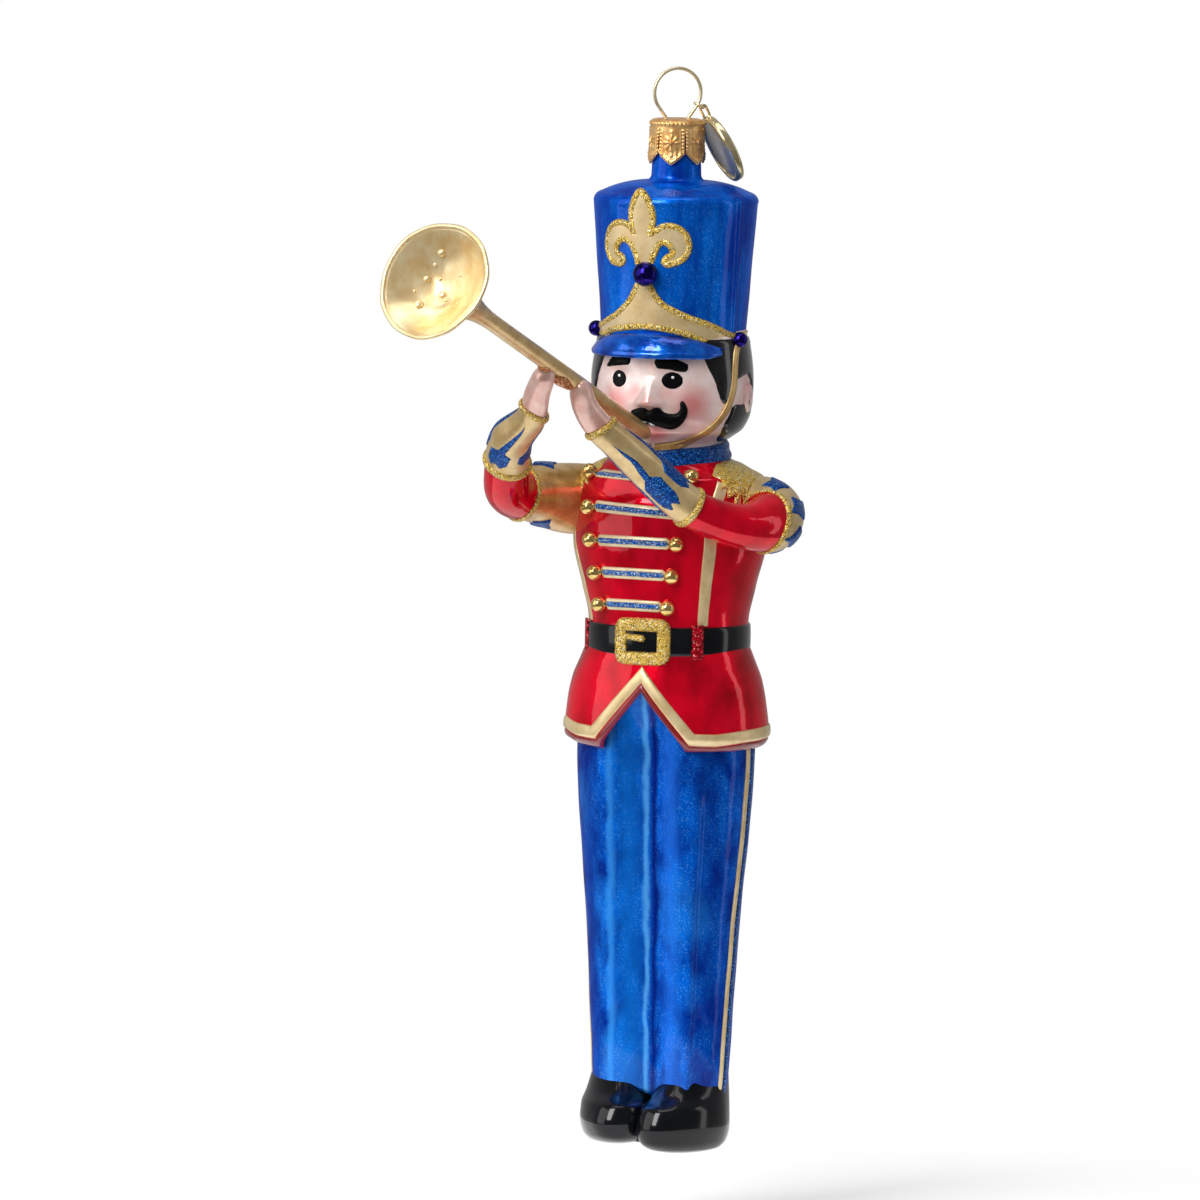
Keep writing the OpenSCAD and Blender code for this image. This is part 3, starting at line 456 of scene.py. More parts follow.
def lacquer(name, deep, light, flake, thin, metallic=0.7, rough=0.3, glint_paint_and_flake_bump=0.4, stretch=3.0,
            veil=0.3, fold_painted_light_shade=(), edge=(255, 255, 255), patches=130, grain=0.2, brush=0.4, coat=0.5,
            wave=0.35):
    """Glossy lacquer over silvered glass, brushed on in thin uneven layers with fine mica in it."""
    m = Look(name, Metallic=metallic, Specular_IOR_Level=0.0, Specular_Tint=colour(*edge),
             Coat_Weight=coat, Coat_Roughness=0.05, Coat_IOR=1.5)
    blotch = m.noise(patches, 4, 0.55, stretch)
    strokes = m.noise(620, 3, 0.6, stretch * 2.2)
    cells, parts = m.cells(6500)
    # Mica flecks with painted glints: the flecks are real, and their glint is painted into the base
    # colour in the lighter flake colour.
    painted_glint_flecks = m.times(m.ramp(parts[0], (0.88, 0.0), (0.95, 1.0)),
                    m.ramp(blotch, (0.4, 0.2), (0.6, 1.0)))
    base = m.cloudy(blotch, 0.34, 0.62, deep, light)
    base = m.blend(m.times(m.ramp(strokes, (0.48, 0.0), (0.7, 1.0)), brush), base, deep)
    drift = m.ramp(m.noise(75, 5, 0.6, stretch), (0.56, 0.0), (0.74, 1.0))
    base = m.blend(m.times(drift, veil), base, thin)
    # Painted glints on the mica flecks.
    base = m.blend(m.times(painted_glint_flecks, glint_paint_and_flake_bump), base, flake)
    # Painted highlights and painted shade: upright strips on the front, lighter where a fold
    # catches the light and darker in the groove and the shaded folds.
    for x, wide, share, tint in fold_painted_light_shade:
        base = m.blend(m.times(m.strip(x, wide, blotch), share), base, tint)
    m.set("Base Color", base)
    m.rough(m.noise(1500, 3, 0.6), grain, rough - grain / 2)
    m.set("Normal", m.bump(cells.outputs["Distance"], 0.03 + 0.3 * glint_paint_and_flake_bump, 0.03,
                           m.bump(blotch, 0.4, 0.3)))
    m.set("Coat Normal", m.bump(blotch, wave, 0.25))
    return m.m


def glitter(name, low, high, bright, dark, size=0.24, metallic=0.85):
    """Loose glitter strewn on glue: every flake tilts its own way."""
    m = Look(name, Metallic=metallic, Specular_IOR_Level=0.2, Coat_Weight=0.2, Coat_Roughness=0.15)
    cells, parts = m.cells(1000 / size)
    base = m.blend(parts[0], low, high)
    # Painted glints and painted shade: a few flakes take the bright colour as glints, and a few
    # take the dark colour as shade on flakes turned from the light.
    base = m.blend(m.ramp(parts[1], (0.82, 0.0), (0.88, 1.0)), base, bright)
    base = m.blend(m.ramp(parts[2], (0.12, 1.0), (0.2, 0.0)), base, dark)
    tilt = m.vector("SUBTRACT", cells.outputs["Color"], (0.5, 0.5, 0.5)).outputs[0]
    normal = m.vector("ADD", m.node("NewGeometry").outputs["Normal"], tilt).outputs[0]
    m.set("Base Color", base)
    m.set("Roughness", m.ramp(parts[2], (0.0, 0.12), (1.0, 0.42)))
    m.set("Normal", m.bump(cells.outputs["Distance"], 0.8, 0.09,
                           m.vector("NORMALIZE", normal).outputs[0]))
    return m.m


def gilt(name, deep, light, metallic=0.8, rough=0.34, grain=0.2, wave=0.3, uneven=0.25):
    """Brushed-on gold paint or satin gold lacquer."""
    m = Look(name, Metallic=metallic, Coat_Weight=0.5, Coat_Roughness=0.12)
    cloud, fine = m.noise(230, 4, 0.6), m.noise(2600, 3, 0.7)
    m.set("Base Color", m.cloudy(cloud, 0.35, 0.68, deep, light))
    m.rough(fine, uneven, rough - uneven / 2)
    normal = m.bump(cloud, 0.5, 0.4 * wave)
    m.set("Normal", m.bump(fine, 0.5, 0.1 * grain, normal) if grain else normal)
    return m.m


def plated(name, deep, light, rough=0.12, grain=0.1, metallic=1.0, wave=0.2, uneven=0.16):
    """Bright metal with handling marks."""
    m = Look(name, Metallic=metallic)
    cloud = m.noise(420, 4, 0.6)
    scratch = m.node("TexNoise", {"Vector": m.stretched(900, 5200, 900), "Scale": 1.0,
                                  "Detail": 3.0}).outputs["Fac"]
    m.set("Base Color", m.cloudy(cloud, 0.35, 0.7, deep, light))
    m.rough(scratch, uneven, rough - uneven * 0.4)
    m.set("Normal", m.bump(scratch, 0.5, 0.04 * grain, m.bump(cloud, 0.5, 0.12 * wave)))
    return m.m


def enamel(name, deep, light, rough=0.1, wave=0.2, coat=1.0, shine=0.5):
    """Gloss paint without metal in it."""
    m = Look(name, Specular_IOR_Level=shine, Coat_Weight=coat, Coat_Roughness=0.03)
    cloud, fine = m.noise(180, 4, 0.55), m.noise(2200, 2, 0.6)
    m.set("Base Color", m.cloudy(cloud, 0.35, 0.7, deep, light))
    m.rough(fine, 0.14, rough)
    m.set("Normal", m.bump(cloud, wave, 0.25, m.bump(fine, 0.06, 0.03)))
    return m.m


def pearl(name, deep, light, blush=None, dabs=(), metallic=0.3):
    """Pearly pink lacquer with the blush dabbed on at points given with a radius and a share."""
    m = Look(name, Metallic=metallic, Coat_Weight=0.8, Coat_Roughness=0.06,
             Subsurface_Weight=0.06, Subsurface_Scale=0.001)
    cloud = m.noise(260, 4, 0.6)
    base = m.cloudy(cloud, 0.35, 0.68, deep, light)
    for point, radius, share in dabs:
        patchy = m.times(m.ramp(cloud, (0.2, 0.75), (0.7, 1.0)), share)
        base = m.blend(m.times(m.near(point, radius, 0.95), patchy), base, blush)
    m.set("Base Color", base)
    m.rough(m.noise(3200, 3, 0.6), 0.08, 0.3)
    m.set("Normal", m.bump(cloud, 0.5, 0.06))
    return m.m


DEEP_BLUE = (0, 64, 200)
BLUE = lacquer("blue_lacquer", (0, 54, 164), (0, 118, 240), (110, 200, 255), (30, 140, 244), 0.5,
               0.34, 0.45, edge=DEEP_BLUE, coat=0.28, veil=0.4)
VISOR_BLUE = lacquer("visor_blue_lacquer", (0, 40, 140), (0, 104, 226), (110, 200, 255),
                     (60, 160, 250), 0.55, 0.2, 0.2, 1.0, edge=DEEP_BLUE, patches=260, coat=1.0,
                     wave=0.8, veil=0.5, grain=0.06)
# Painted highlights and painted shade on the trousers, along the folds and in the middle groove:
# place across, half width, share and colour.
FOLD_PAINTED_LIGHT_SHADE = ((-11.5, 3.2, 0.5, (0, 50, 150)), (-3.4, 3.8, 0.5, (16, 130, 236)),
         (-6.9, 1.3, 0.6, (60, 160, 250)), (-0.4, 0.9, 0.75, (90, 180, 255)),
         (1.4, 1.5, 0.9, (0, 14, 110)), (5.2, 2.8, 0.5, (40, 120, 240)),
         (12.5, 5.0, 0.5, (0, 34, 130)))
TROUSER_BLUE = lacquer("trouser_blue_lacquer", (0, 44, 146), (2, 104, 222), (120, 206, 255),
                       (40, 148, 244), 0.48, 0.34, 0.4, 2.0, edge=DEEP_BLUE, patches=250, coat=0.3,
                       veil=0.55, brush=0.5, fold_painted_light_shade=FOLD_PAINTED_LIGHT_SHADE)
RED = lacquer("red_lacquer", (172, 0, 22), (238, 0, 40), (255, 70, 90), (246, 20, 62), 0.42, 0.22,
              0.03, 1.5, edge=(150, 0, 20), grain=0.05, brush=0.12, coat=0.75, wave=0.6)
SKIN = pearl("pearl_skin", (242, 208, 202), (253, 235, 231), (216, 108, 104),
             (((-6.8, -12.9, -62.6), 5.2, 0.85), ((8.4, -12.2, -62.8), 5.6, 0.9),
              ((0.6, -16.4, -62.0), 2.6, 0.5), ((1.4, -12.9, -68.6), 4.6, 1.0),
              ((-2.5, -14.2, -60.5), 2.6, 0.45), ((4.0, -14.2, -60.5), 2.6, 0.45),
              ((15.2, 0.0, -59.6), 4.0, 0.55), ((-15.2, 0.0, -59.6), 4.0, 0.55)))
HAND = pearl("pearl_hand", (226, 168, 152), (248, 212, 200), metallic=0.4)
BLACK = enamel("black_enamel", (8, 9, 12), (16, 18, 21), 0.1, coat=0.45, shine=0.2)
HAIR = enamel("hair_black", (12, 13, 15), (26, 27, 29), 0.12, wave=0.35, coat=0.8, shine=0.3)
GILT = gilt("champagne_gilt", (216, 186, 130), (244, 222, 174), 0.5, 0.36, 0.04, 0.2, 0.08)
BRAID = gilt("braid_gilt", (214, 192, 146), (242, 226, 188), 0.3, 0.4)
AMBER = gilt("amber_gilt", (196, 150, 78), (236, 200, 132), 0.6, 0.34, 0.0, 0.15, 0.08)
STRAP = gilt("strap_gilt", (176, 132, 72), (218, 186, 122), 0.4, 0.36)
CUFF = gilt("cuff_gilt", (204, 172, 114), (234, 208, 154), 0.6, 0.34, 0.04, 0.2, 0.08)
HORN = gilt("satin_horn_gold", (204, 166, 104), (236, 206, 146), 0.65, 0.36, 0.0, 0.12, 0.08)
# Paler than the horn's gold: the dish's white-cream reflection of the room is painted into its base
# colour.
DISH_GOLD_WITH_PAINTED_REFLECTION = gilt("dish_gold_painted_reflection", (236, 200, 138), (255, 240, 196), 0.65, 0.3, 0.0, 0.25, 0.08)
GOLD_GLITTER = glitter("gold_glitter", (194, 150, 48), (244, 210, 104), (255, 252, 214),
                       (120, 96, 30), size=0.2, metallic=0.5)
GLUE_GLITTER = glitter("glue_glitter", (170, 84, 40), (226, 150, 84), (255, 226, 190), (90, 40, 20),
                       metallic=0.5)
BRAID_GLITTER = glitter("braid_glitter", (0, 62, 150), (30, 110, 200), (190, 214, 235),
                        (150, 160, 160), metallic=0.4)
BLUE_GLITTER = glitter("blue_glitter", (0, 48, 124), (0, 88, 184), (70, 160, 240), (0, 16, 58),
                       size=0.2, metallic=0.6)
RED_GLITTER = glitter("red_glitter", (150, 0, 18), (210, 20, 40), (255, 150, 150), (80, 0, 10))
SILVER_GLITTER = glitter("silver_glitter", (120, 124, 130), (190, 196, 204), (255, 255, 255),
                         (30, 30, 34), 0.3)
DARK_RED = enamel("dark_red_edge", (112, 4, 16), (150, 8, 24), 0.28)
BEAD = plated("ink_blue_bead", (14, 8, 84), (40, 24, 140), 0.16, 0.03, 0.9)
BUTTON = plated("button_gold", (214, 176, 96), (250, 226, 152), 0.12, 0.03, 0.85)
WIRE = plated("pale_gold_wire", (222, 206, 162), (244, 232, 198), 0.3, 0.01, 0.7, 0.02, 0.02)
CAP = plated("stamped_cap_gold", (222, 160, 88), (255, 212, 146), 0.33, 0.06, 0.7)
CHARM = plated("charm_gold", (214, 194, 144), (242, 226, 184), 0.14, 0.03, 0.8)
PLATE = plated("charm_silver", (182, 180, 176), (214, 212, 208), 0.3, 0.1, 0.7)
EYE = enamel("eye_black", (6, 6, 8), (14, 14, 17), 0.3, wave=0.1, coat=0.06, shine=0.06)
# Painted highlight: the white glint on each glossy black eye.
EYE_PAINTED_HIGHLIGHT = enamel("eye_painted_highlight", (236, 234, 228), (250, 250, 246), 0.2)

# ---------------------------------------------------------------- builders


def piece(name, verts, faces, look_, replaces=(), slot=GLASS, rider="figure", angle=None):
    """One mesh, from points in millimetres, that rides on a body."""
    me = bpy.data.meshes.new(name)
    me.from_pydata((np.asarray(verts, float).reshape(-1, 3) * MM).tolist(), [],
                   [tuple(int(i) for i in f) for f in faces])
    ob = bpy.data.objects.new(name, me)
    bpy.context.scene.collection.objects.link(ob)
    bpy.context.view_layer.objects.active = ob
    ob.select_set(True)
    bpy.ops.object.mode_set(mode="EDIT")
    bpy.ops.mesh.select_all(action="SELECT")
    bpy.ops.mesh.remove_doubles(threshold=1e-6)
    bpy.ops.mesh.normals_make_consistent(inside=False)
    bpy.ops.object.mode_set(mode="OBJECT")
    if angle:
        bpy.ops.object.shade_smooth_by_angle(angle=radians(angle))
    else:
        bpy.ops.object.shade_smooth()
    ob.select_set(False)
    me.materials.append(look_)
    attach(ob, rider)
    if replaces:
        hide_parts(*replaces)


def grid(p, wrap=False, start=0):
    """Faces of a grid of points p[rows, columns], closed round its columns when wrap is set."""
    n, m = p.shape[:2]
    cells = [(start + i * m, start + (i + 1) * m, j, (j + 1) % m)
             for i in range(n - 1) for j in range(m if wrap else m - 1)]
    return [(a + j, a + k, b + k, b + j) for a, b, j, k in cells]


def tube_piece(name, rings, look_, replaces=(), slot=GLASS, **kept):
    """Closed skin over rings[n, m, 3], with a cone of faces closing each end."""
    rings = np.asarray(rings, float)
    n, m = rings.shape[:2]
    verts = np.concatenate([rings.reshape(-1, 3), [rings[0].mean(0)], [rings[-1].mean(0)]])
    faces = grid(rings, True) + [(n * m, (j + 1) % m, j) for j in range(m)]
    faces += [(n * m + 1, (n - 1) * m + j, (n - 1) * m + (j + 1) % m) for j in range(m)]
    piece(name, verts, faces, look_, replaces, slot, **kept)


def ribbon(name, top, look_, slot, closed=False):
    """Closes the underside and the ends of a strip top[along, across]."""
    n, m = top.shape[:2]
    faces = grid(np.concatenate([top, top[:1]]) if closed else top, True)
    faces = [tuple(i % (n * m) for i in f) for f in faces]
    if not closed:
        faces += [tuple(range(m)), tuple((n - 1) * m + c for c in range(m))]
    piece(name, top, faces, look_, slot=slot)


def curve(points, step, closed=False):
    """Evenly spaced points on a smooth line through the given ones."""
    p = np.array(points, float)
    n = len(p)
    out = []
    for i in range(n if closed else n - 1):
        a, b, c, d = (p[(i + o) % n] if closed else p[min(max(i + o, 0), n - 1)]
                      for o in (-1, 0, 1, 2))
        out += [spline(a, b, c, d, t) for t in circle(24, 1)]
    if not closed:
        out.append(p[-1])
    return even(np.array(out), step, closed)


def even(p, step, closed=False):
    """The same line, with its points step apart."""
    q = np.vstack([p, p[:1]]) if closed else p
    run = np.concatenate([[0], np.cumsum(np.linalg.norm(np.diff(q, axis=0), axis=1))])
    n = max(2, int(round(run[-1] / step)))
    at = np.linspace(0, run[-1], n + 1)[: n if closed else n + 1]
    return np.stack([np.interp(at, run, q[:, i]) for i in range(q.shape[1])], -1)


def scales(surface, uv):
    """Millimetres on the surface for one unit of each parameter near uv."""
    u, v = np.mean(uv, axis=0)
    o = point_on(surface, u, v)
    return np.array([np.linalg.norm(point_on(surface, u + 0.5, v) - o) * 2,
                     np.linalg.norm(point_on(surface, u, v + 0.05) - o) * 20])


def patch(name, surface, outline, height, look_, slot=GLASS, step=0.42, edge=None, sharp=False,
          base=0.0, sink=0.08):
    """A raised shape: an outline in surface parameters, filled and rounded at its edge."""
    k = scales(surface, outline)
    rim = (even if sharp else curve)(np.array(outline, float) * k, step * 0.7, True)
    lo, hi = rim.min(0), rim.max(0)
    gx, gy = np.meshgrid(np.arange(lo[0], hi[0], step), np.arange(lo[1], hi[1], step * 0.87))
    gx[1::2] += step / 2
    pts = np.stack([gx.ravel(), gy.ravel()], -1)
    a, b = rim, np.roll(rim, -1, 0)

    def far(p):
        ab = b - a
        t = np.clip(((p[:, None] - a) * ab).sum(-1) / np.maximum((ab * ab).sum(-1), 1e-12), 0, 1)
        return np.linalg.norm(p[:, None] - (a + t[..., None] * ab), axis=-1).min(1)

    def from_rim(p):
        return np.concatenate([far(c) for c in np.array_split(p, max(1, len(p) // 800))])

    every = np.vstack([rim, pts[from_rim(pts) > step * 0.45]]).tolist()
    found = delaunay_2d_cdt([Vector(p) for p in every], [], [list(range(len(rim)))], 1, 1e-5)
    co, tris = np.array([tuple(c) for c in found[0]]), found[2]
    t = np.clip(from_rim(co) / (edge or height * 1.6), 0, 1)
    out = base - sink + (height + sink) * np.sqrt(np.clip(1 - (1 - t) ** 2, 0, 1))
    piece(name, surface(co[:, 0] / k[0], co[:, 1] / k[1], out), tris, look_, slot=slot)


def line(name, surface, path, width, height, look_, slot=GLASS, closed=False, step=0.4, base=0.0,
         taper=0.0, sides=7):
    """A raised ribbon with a domed section along a path in surface parameters."""
    path = np.array(path, float)
    k = scales(surface, path)
    p = curve(path * k, step, closed)
    way = (np.roll(p, -1, 0) - np.roll(p, 1, 0)) if closed else np.gradient(p, axis=0)
    way /= np.maximum(np.linalg.norm(way, axis=1), 1e-9)[:, None]
    side = np.stack([-way[:, 1], way[:, 0]], -1)
    w = np.full(len(p), width / 2)
    if taper and not closed:
        run = np.minimum(np.arange(len(p)), np.arange(len(p))[::-1]) * step
        w = w * np.clip(np.sqrt(np.maximum(run, 0.02) / taper), 0.1, 1)
    t = np.linspace(-1, 1, sides)
    q = p[:, None, :] + side[:, None, :] * (w[:, None] * t)[..., None]
    dome = np.sqrt(np.maximum(1 - t ** 2, 0))[None, :] * np.minimum(1, w / (width / 2))[:, None]
    out = base - SINK + (height + SINK) * dome
    ribbon(name, surface(q[..., 0] / k[0], q[..., 1] / k[1], out), look_, slot, closed)


def band(name, surface, us, low, high, height, look_, rows, power=0.5):
    """A raised strip between two edges given as (turn, height) lines."""
    us = np.asarray(us, float)
    lo, hi = (np.interp(us, *zip(*edge)) for edge in (low, high))
    t = np.linspace(0, 1, rows)
    v = lo[:, None] + (hi - lo)[:, None] * t
    out = (height + SINK) * np.clip(1 - (2 * t - 1) ** 2, 0, 1) ** power - SINK
    ribbon(name, surface(us[:, None] + 0 * v, v, out[None, :] + 0 * v), look_, GLASS)


def ball(name, centre, way, r, look_, slot, replaces=(), flat=0.42, rows=20, turns=36, squash=1.0):
    """Bead with a flat back, facing along way."""
    way = unit(np.array(way, float))
    a = unit(np.cross(way, [0.13, 0.31, 0.94]))
    b = np.cross(way, a)
    k = circle(turns)
    disc = np.cos(k)[:, None] * a + np.sin(k)[:, None] * b
    rings = [centre + r * cos(x) * disc + r * sin(x) * squash * way
             for x in np.linspace(asin(-flat), pi / 2, rows)]
    tube_piece(name, rings, look_, replaces, slot=slot)


# ---------------------------------------------------------------- hanger, cap and charm

ct, st = cos(radians(LOOP_TURN)), sin(radians(LOOP_TURN))


def in_loop(x, y, z):
    """From the loop's own plane to the part's frame."""
    return np.array([x * ct - y * st, x * st + y * ct, z])


def hanger():
    first = radians(SHOULDER)
    arc = [in_loop(LOOP_R * sin(a), 0, LOOP_Z - LOOP_R * cos(a))
           for a in np.linspace(first, TAU - first, 96)]
    top_x, top_z = LOOP_R * sin(first), LOOP_Z - LOOP_R * cos(first)
    entry_z, bend_z, tip_z = CAP_Z + CAP_SHEET, NECK_Z - 1.3, CAP_Z - LEG_LEN
    stops = [(mix(top_x, LEG_GAP, s), mix(top_z, entry_z, s)) for s in (0.2, 0.5, 0.8)]
    stops += [(LEG_GAP, entry_z), (LEG_GAP, mix(entry_z, bend_z, 0.5)), (LEG_GAP, bend_z)]
    stops += [(mix(LEG_GAP, LEG_TIP, s), mix(bend_z, tip_z, s)) for s in (0.1, 0.4, 0.7, 1.0)]
    leg = lambda s: [in_loop(s * x, 0, z) for x, z in stops]
    p = curve(leg(1)[::-1] + arc + leg(-1), 0.3)
    flat = in_loop(0, 1, 0)
    k = circle(16)[None, :, None]
    rings = p[:, None] + WIRE_R * (np.cos(k) * flat + np.sin(k) * np.cross(ways(p), flat)[:, None])
    tube_piece("hanger_wire_loop", rings, WIRE, ("hanger_wire",), slot="pale_gold_wire",
               rider="hanger")


def cap_form(u, z):
    """Radius of the stamped cap with its ornament, at turn u from the middle of a lobe."""
    low = CAP_Z - CAP_H
    r = CAP_R + CAP_FLARE * np.clip((CAP_Z - z) / CAP_H, 0, 1) ** 2
    x = np.radians(u) * CAP_R
    star_z = CAP_Z - 4.3
    d, a = np.hypot(x, z - star_z), np.arctan2(z - star_z, x)
    ray = np.abs(np.cos(4 * a)) ** 3
    star = 0.3 * np.clip(1 - d / 1.7, 0, 1) ** 0.5 * (0.08 + 0.92 * ray) * (d < 1.7)
    star = star + 0.16 * bump(d, 0.3)
    beads = 0.5 + 0.5 * np.sin(z * 9.5 + np.sign(x))
    rope = bump(np.abs(x) - 2.28, 0.2) * (0.1 + 0.2 * beads) * (z < CAP_Z - 1.6)
    rope = rope + 0.12 * bump(np.abs(x) - 1.8, 0.13) * (z < CAP_Z - 1.9)
    up = z - lobe_low(u)
    tip = bump(up - 0.5, 0.24) * (0.2 + 0.1 * np.sin(x * 9.0)) + 0.08 * bump(up - 1.0, 0.13)
    crown = bump(z - (CAP_Z - 0.75), 0.3) * (0.12 + 0.12 * np.sin(np.radians(u) * 42))
    small = 0.14 * bump(np.hypot(x, z - (CAP_Z - 2.25)), 0.34)
    small = small + 0.13 * bump(np.hypot(x, z - (low + 1.7)), 0.42)
    fan = 0.07 * np.cos(x * 7.0) * bump(z - (CAP_Z - 6.4), 0.6)
    return r + star + np.maximum(rope, tip) * 0.9 + crown + small + fan


def lobe_low(u):
    """Lower edge of a lobe: a rounded point between two valleys."""
    t = np.clip(np.abs(u) / (180 / CAP_LOBES), 0, 1)
    return CAP_Z - CAP_H + LOBE_DEPTH * (t ** 1.25)


def crown_cap():
    half, cols, skin_rows = 180 / CAP_LOBES, 33, 62
    u = np.linspace(-half, half, cols)
    low, slit_top = lobe_low(u), CAP_Z - CAP_H + LOBE_DEPTH + SLIT_LEN

    def cut(z):
        slit = np.clip((slit_top - z) / 0.15, 0, 1) * degrees(SLIT_W / 2 / CAP_R)
        return np.clip(u, -half + slit, half - slit)

    top = [(CAP_R * 0.5, 0.0), (CAP_R - 0.75, 0.0), (CAP_R - 0.35, -0.1), (CAP_R - 0.1, -0.32)]
    rows = [(np.full(cols, r), np.full(cols, CAP_Z + dz), u) for r, dz in top]
    for t in np.linspace(0.06, 1, skin_rows):
        z = mix(CAP_Z - 0.1, low, t)
        rows.append((cap_form(cut(z), z), z, cut(z)))
    first_inner = len(rows)
    for t in np.linspace(1, 0.0, 8):
        z = mix(CAP_Z - 0.5, low, t)
        flare = CAP_FLARE * np.clip((CAP_Z - z) / CAP_H, 0, 1) ** 2
        rows.append((CAP_R - CAP_SHEET + flare, z, cut(z)))
    verts, faces = [], []
    for lobe in range(CAP_LOBES):
        turn = LOOP_TURN + lobe * 2 * half
        p = np.array([around(np.radians(v + turn + 90), r, r, z) for r, z, v in rows])
        start = len(verts)
        verts += p.reshape(-1, 3).tolist() + [[0, 0, CAP_Z]]
        faces += grid(p, False, start)
        faces += [(len(verts) - 1, start + j, start + j + 1) for j in range(cols - 1)]
        for j in (0, cols - 1):
            skin = range(len(top), len(top) + skin_rows)
            ring = [start + r * cols + j for r in skin if rows[r][1][j] < slit_top + 0.1]
            back = [start + r * cols + j for r in range(first_inner, len(rows))
                    if rows[r][1][j] < slit_top + 0.4]
            if len(ring) > 2 and len(back) > 1:
                faces.append(tuple(ring + back))
    start = len(verts)
    k, r = circle(64), CAP_R - CAP_SHEET - 0.02
    verts += around(k + pi / 2, r, r, CAP_Z - 0.5).tolist() + [[0, 0, CAP_Z - 0.28]]
    faces += [(start + (j + 1) % 64, start + j, start + 64) for j in range(64)]
    piece("crown_cap_shell", verts, faces, CAP, ("crown_cap",), "embossed_gold_cap", "cap", 50)


CHARM_AT = radians(60)
JUMP_WAY = np.array([sin(CHARM_AT), 0, -cos(CHARM_AT)])
JUMP_HOLE = JUMP_R - JUMP_WIRE
JUMP_SEAT = np.array([0, 0, LOOP_Z]) + LOOP_R * JUMP_WAY
JUMP_MID = JUMP_SEAT + (JUMP_HOLE - WIRE_R - 0.025) * JUMP_WAY
PIVOT = JUMP_MID + JUMP_R * JUMP_WAY
LUG_DROP = LUG_R - LUG_WIRE - JUMP_WIRE - 0.025
DISC_DROP = LUG_DROP + LUG_LEN + LUG_R + CHARM_R - LUG_WIRE * 2 / 3
LUG_HALF = max(CHARM_T / 2, LUG_R + LUG_WIRE)
REST_W, REST_H = PIVOT[0] - CAP_R, PIVOT[2] - CAP_Z
LEAN = atan2(REST_H, REST_W) - acos((LUG_HALF + 0.1) / hypot(REST_W, REST_H))


def ring_piece(name, centre, axis, radius, wire, place, *rest, **kept):
    """A ring of round wire, each point then moved by place."""
    a = unit(np.cross(axis, [0.21, 0.63, 0.35]))
    b = np.cross(axis, a)
    k, s = circle(56)[:, None, None], circle(20)[None, :, None]
    out = np.cos(k) * a + np.sin(k) * b
    p = np.array(centre) + out * (radius + wire * np.cos(s)) + np.array(axis) * (wire * np.sin(s))
    p = np.array([[place(*q) for q in row] for row in p])
    faces = [tuple(i % (56 * 20) for i in f) for f in grid(np.concatenate([p, p[:1]]), True)]
    piece(name, p, faces, *rest, **kept)


def jump_ring():
    ring_piece("jump_ring_wire", JUMP_MID, unit(np.cross(JUMP_WAY, [0, 1, 0])), JUMP_R, JUMP_WIRE,
               in_loop, WIRE, ("jump_ring",), "pale_gold_wire", "ring")


def on_charm(x, y, z):
    """From the leaning charm, with its pivot at 0, to the part's frame."""
    c, s = cos(LEAN), sin(LEAN)
    return in_loop(PIVOT[0] + x * c - z * s, y, PIVOT[2] + x * s + z * c)


def charm():
    h, r = CHARM_T / 2, CHARM_R
    face, inside = -h + 0.35, r - BEZEL_W

    def turned(name, profile, *rest):
        """Closed turned solid: (along, radius) pairs about the charm's own axis."""
        rings = [[on_charm(x, q * cos(a), q * sin(a) - DISC_DROP) for a in circle(120)]
                 for x, q in profile]
        tube_piece(name, rings, *rest, rider="charm", angle=40)

    profile = [(face + 0.55, 0.01), (face + 0.55, inside - 0.03), (-h + 0.5, inside)]
    profile += [(-h + 0.5 - 0.5 * sin(a), r - 0.55 + 0.55 * cos(a))
                for a in np.linspace(pi, 0, 13)]
    profile += [(h - 0.5 + 0.5 * sin(a), r - 0.5 + 0.5 * cos(a))
                for a in np.linspace(0, pi / 2, 8)]
    turned("charm_bezel", profile + [(h, r * 0.5), (h, 0.01)], CHARM, ("charm_frame",),
           "charm_gold")
    plate = [(face, 0.01), (face, inside - 0.25), (face + 0.1, inside - 0.06),
             (face + 0.5, inside - 0.06), (face + 0.5, 0.01)]
    turned("charm_plain_plate", plate, PLATE, ("charm_plate",), "charm_silver")
    ring_piece("charm_lug", (0, 0, 0), (0, 1, 0), LUG_R, LUG_WIRE,
               lambda x, y, z: on_charm(x, y, z - LUG_DROP - (LUG_LEN if z < 0 else 0)),
               CHARM, slot="charm_gold", rider="charm")


# ---------------------------------------------------------------- hat


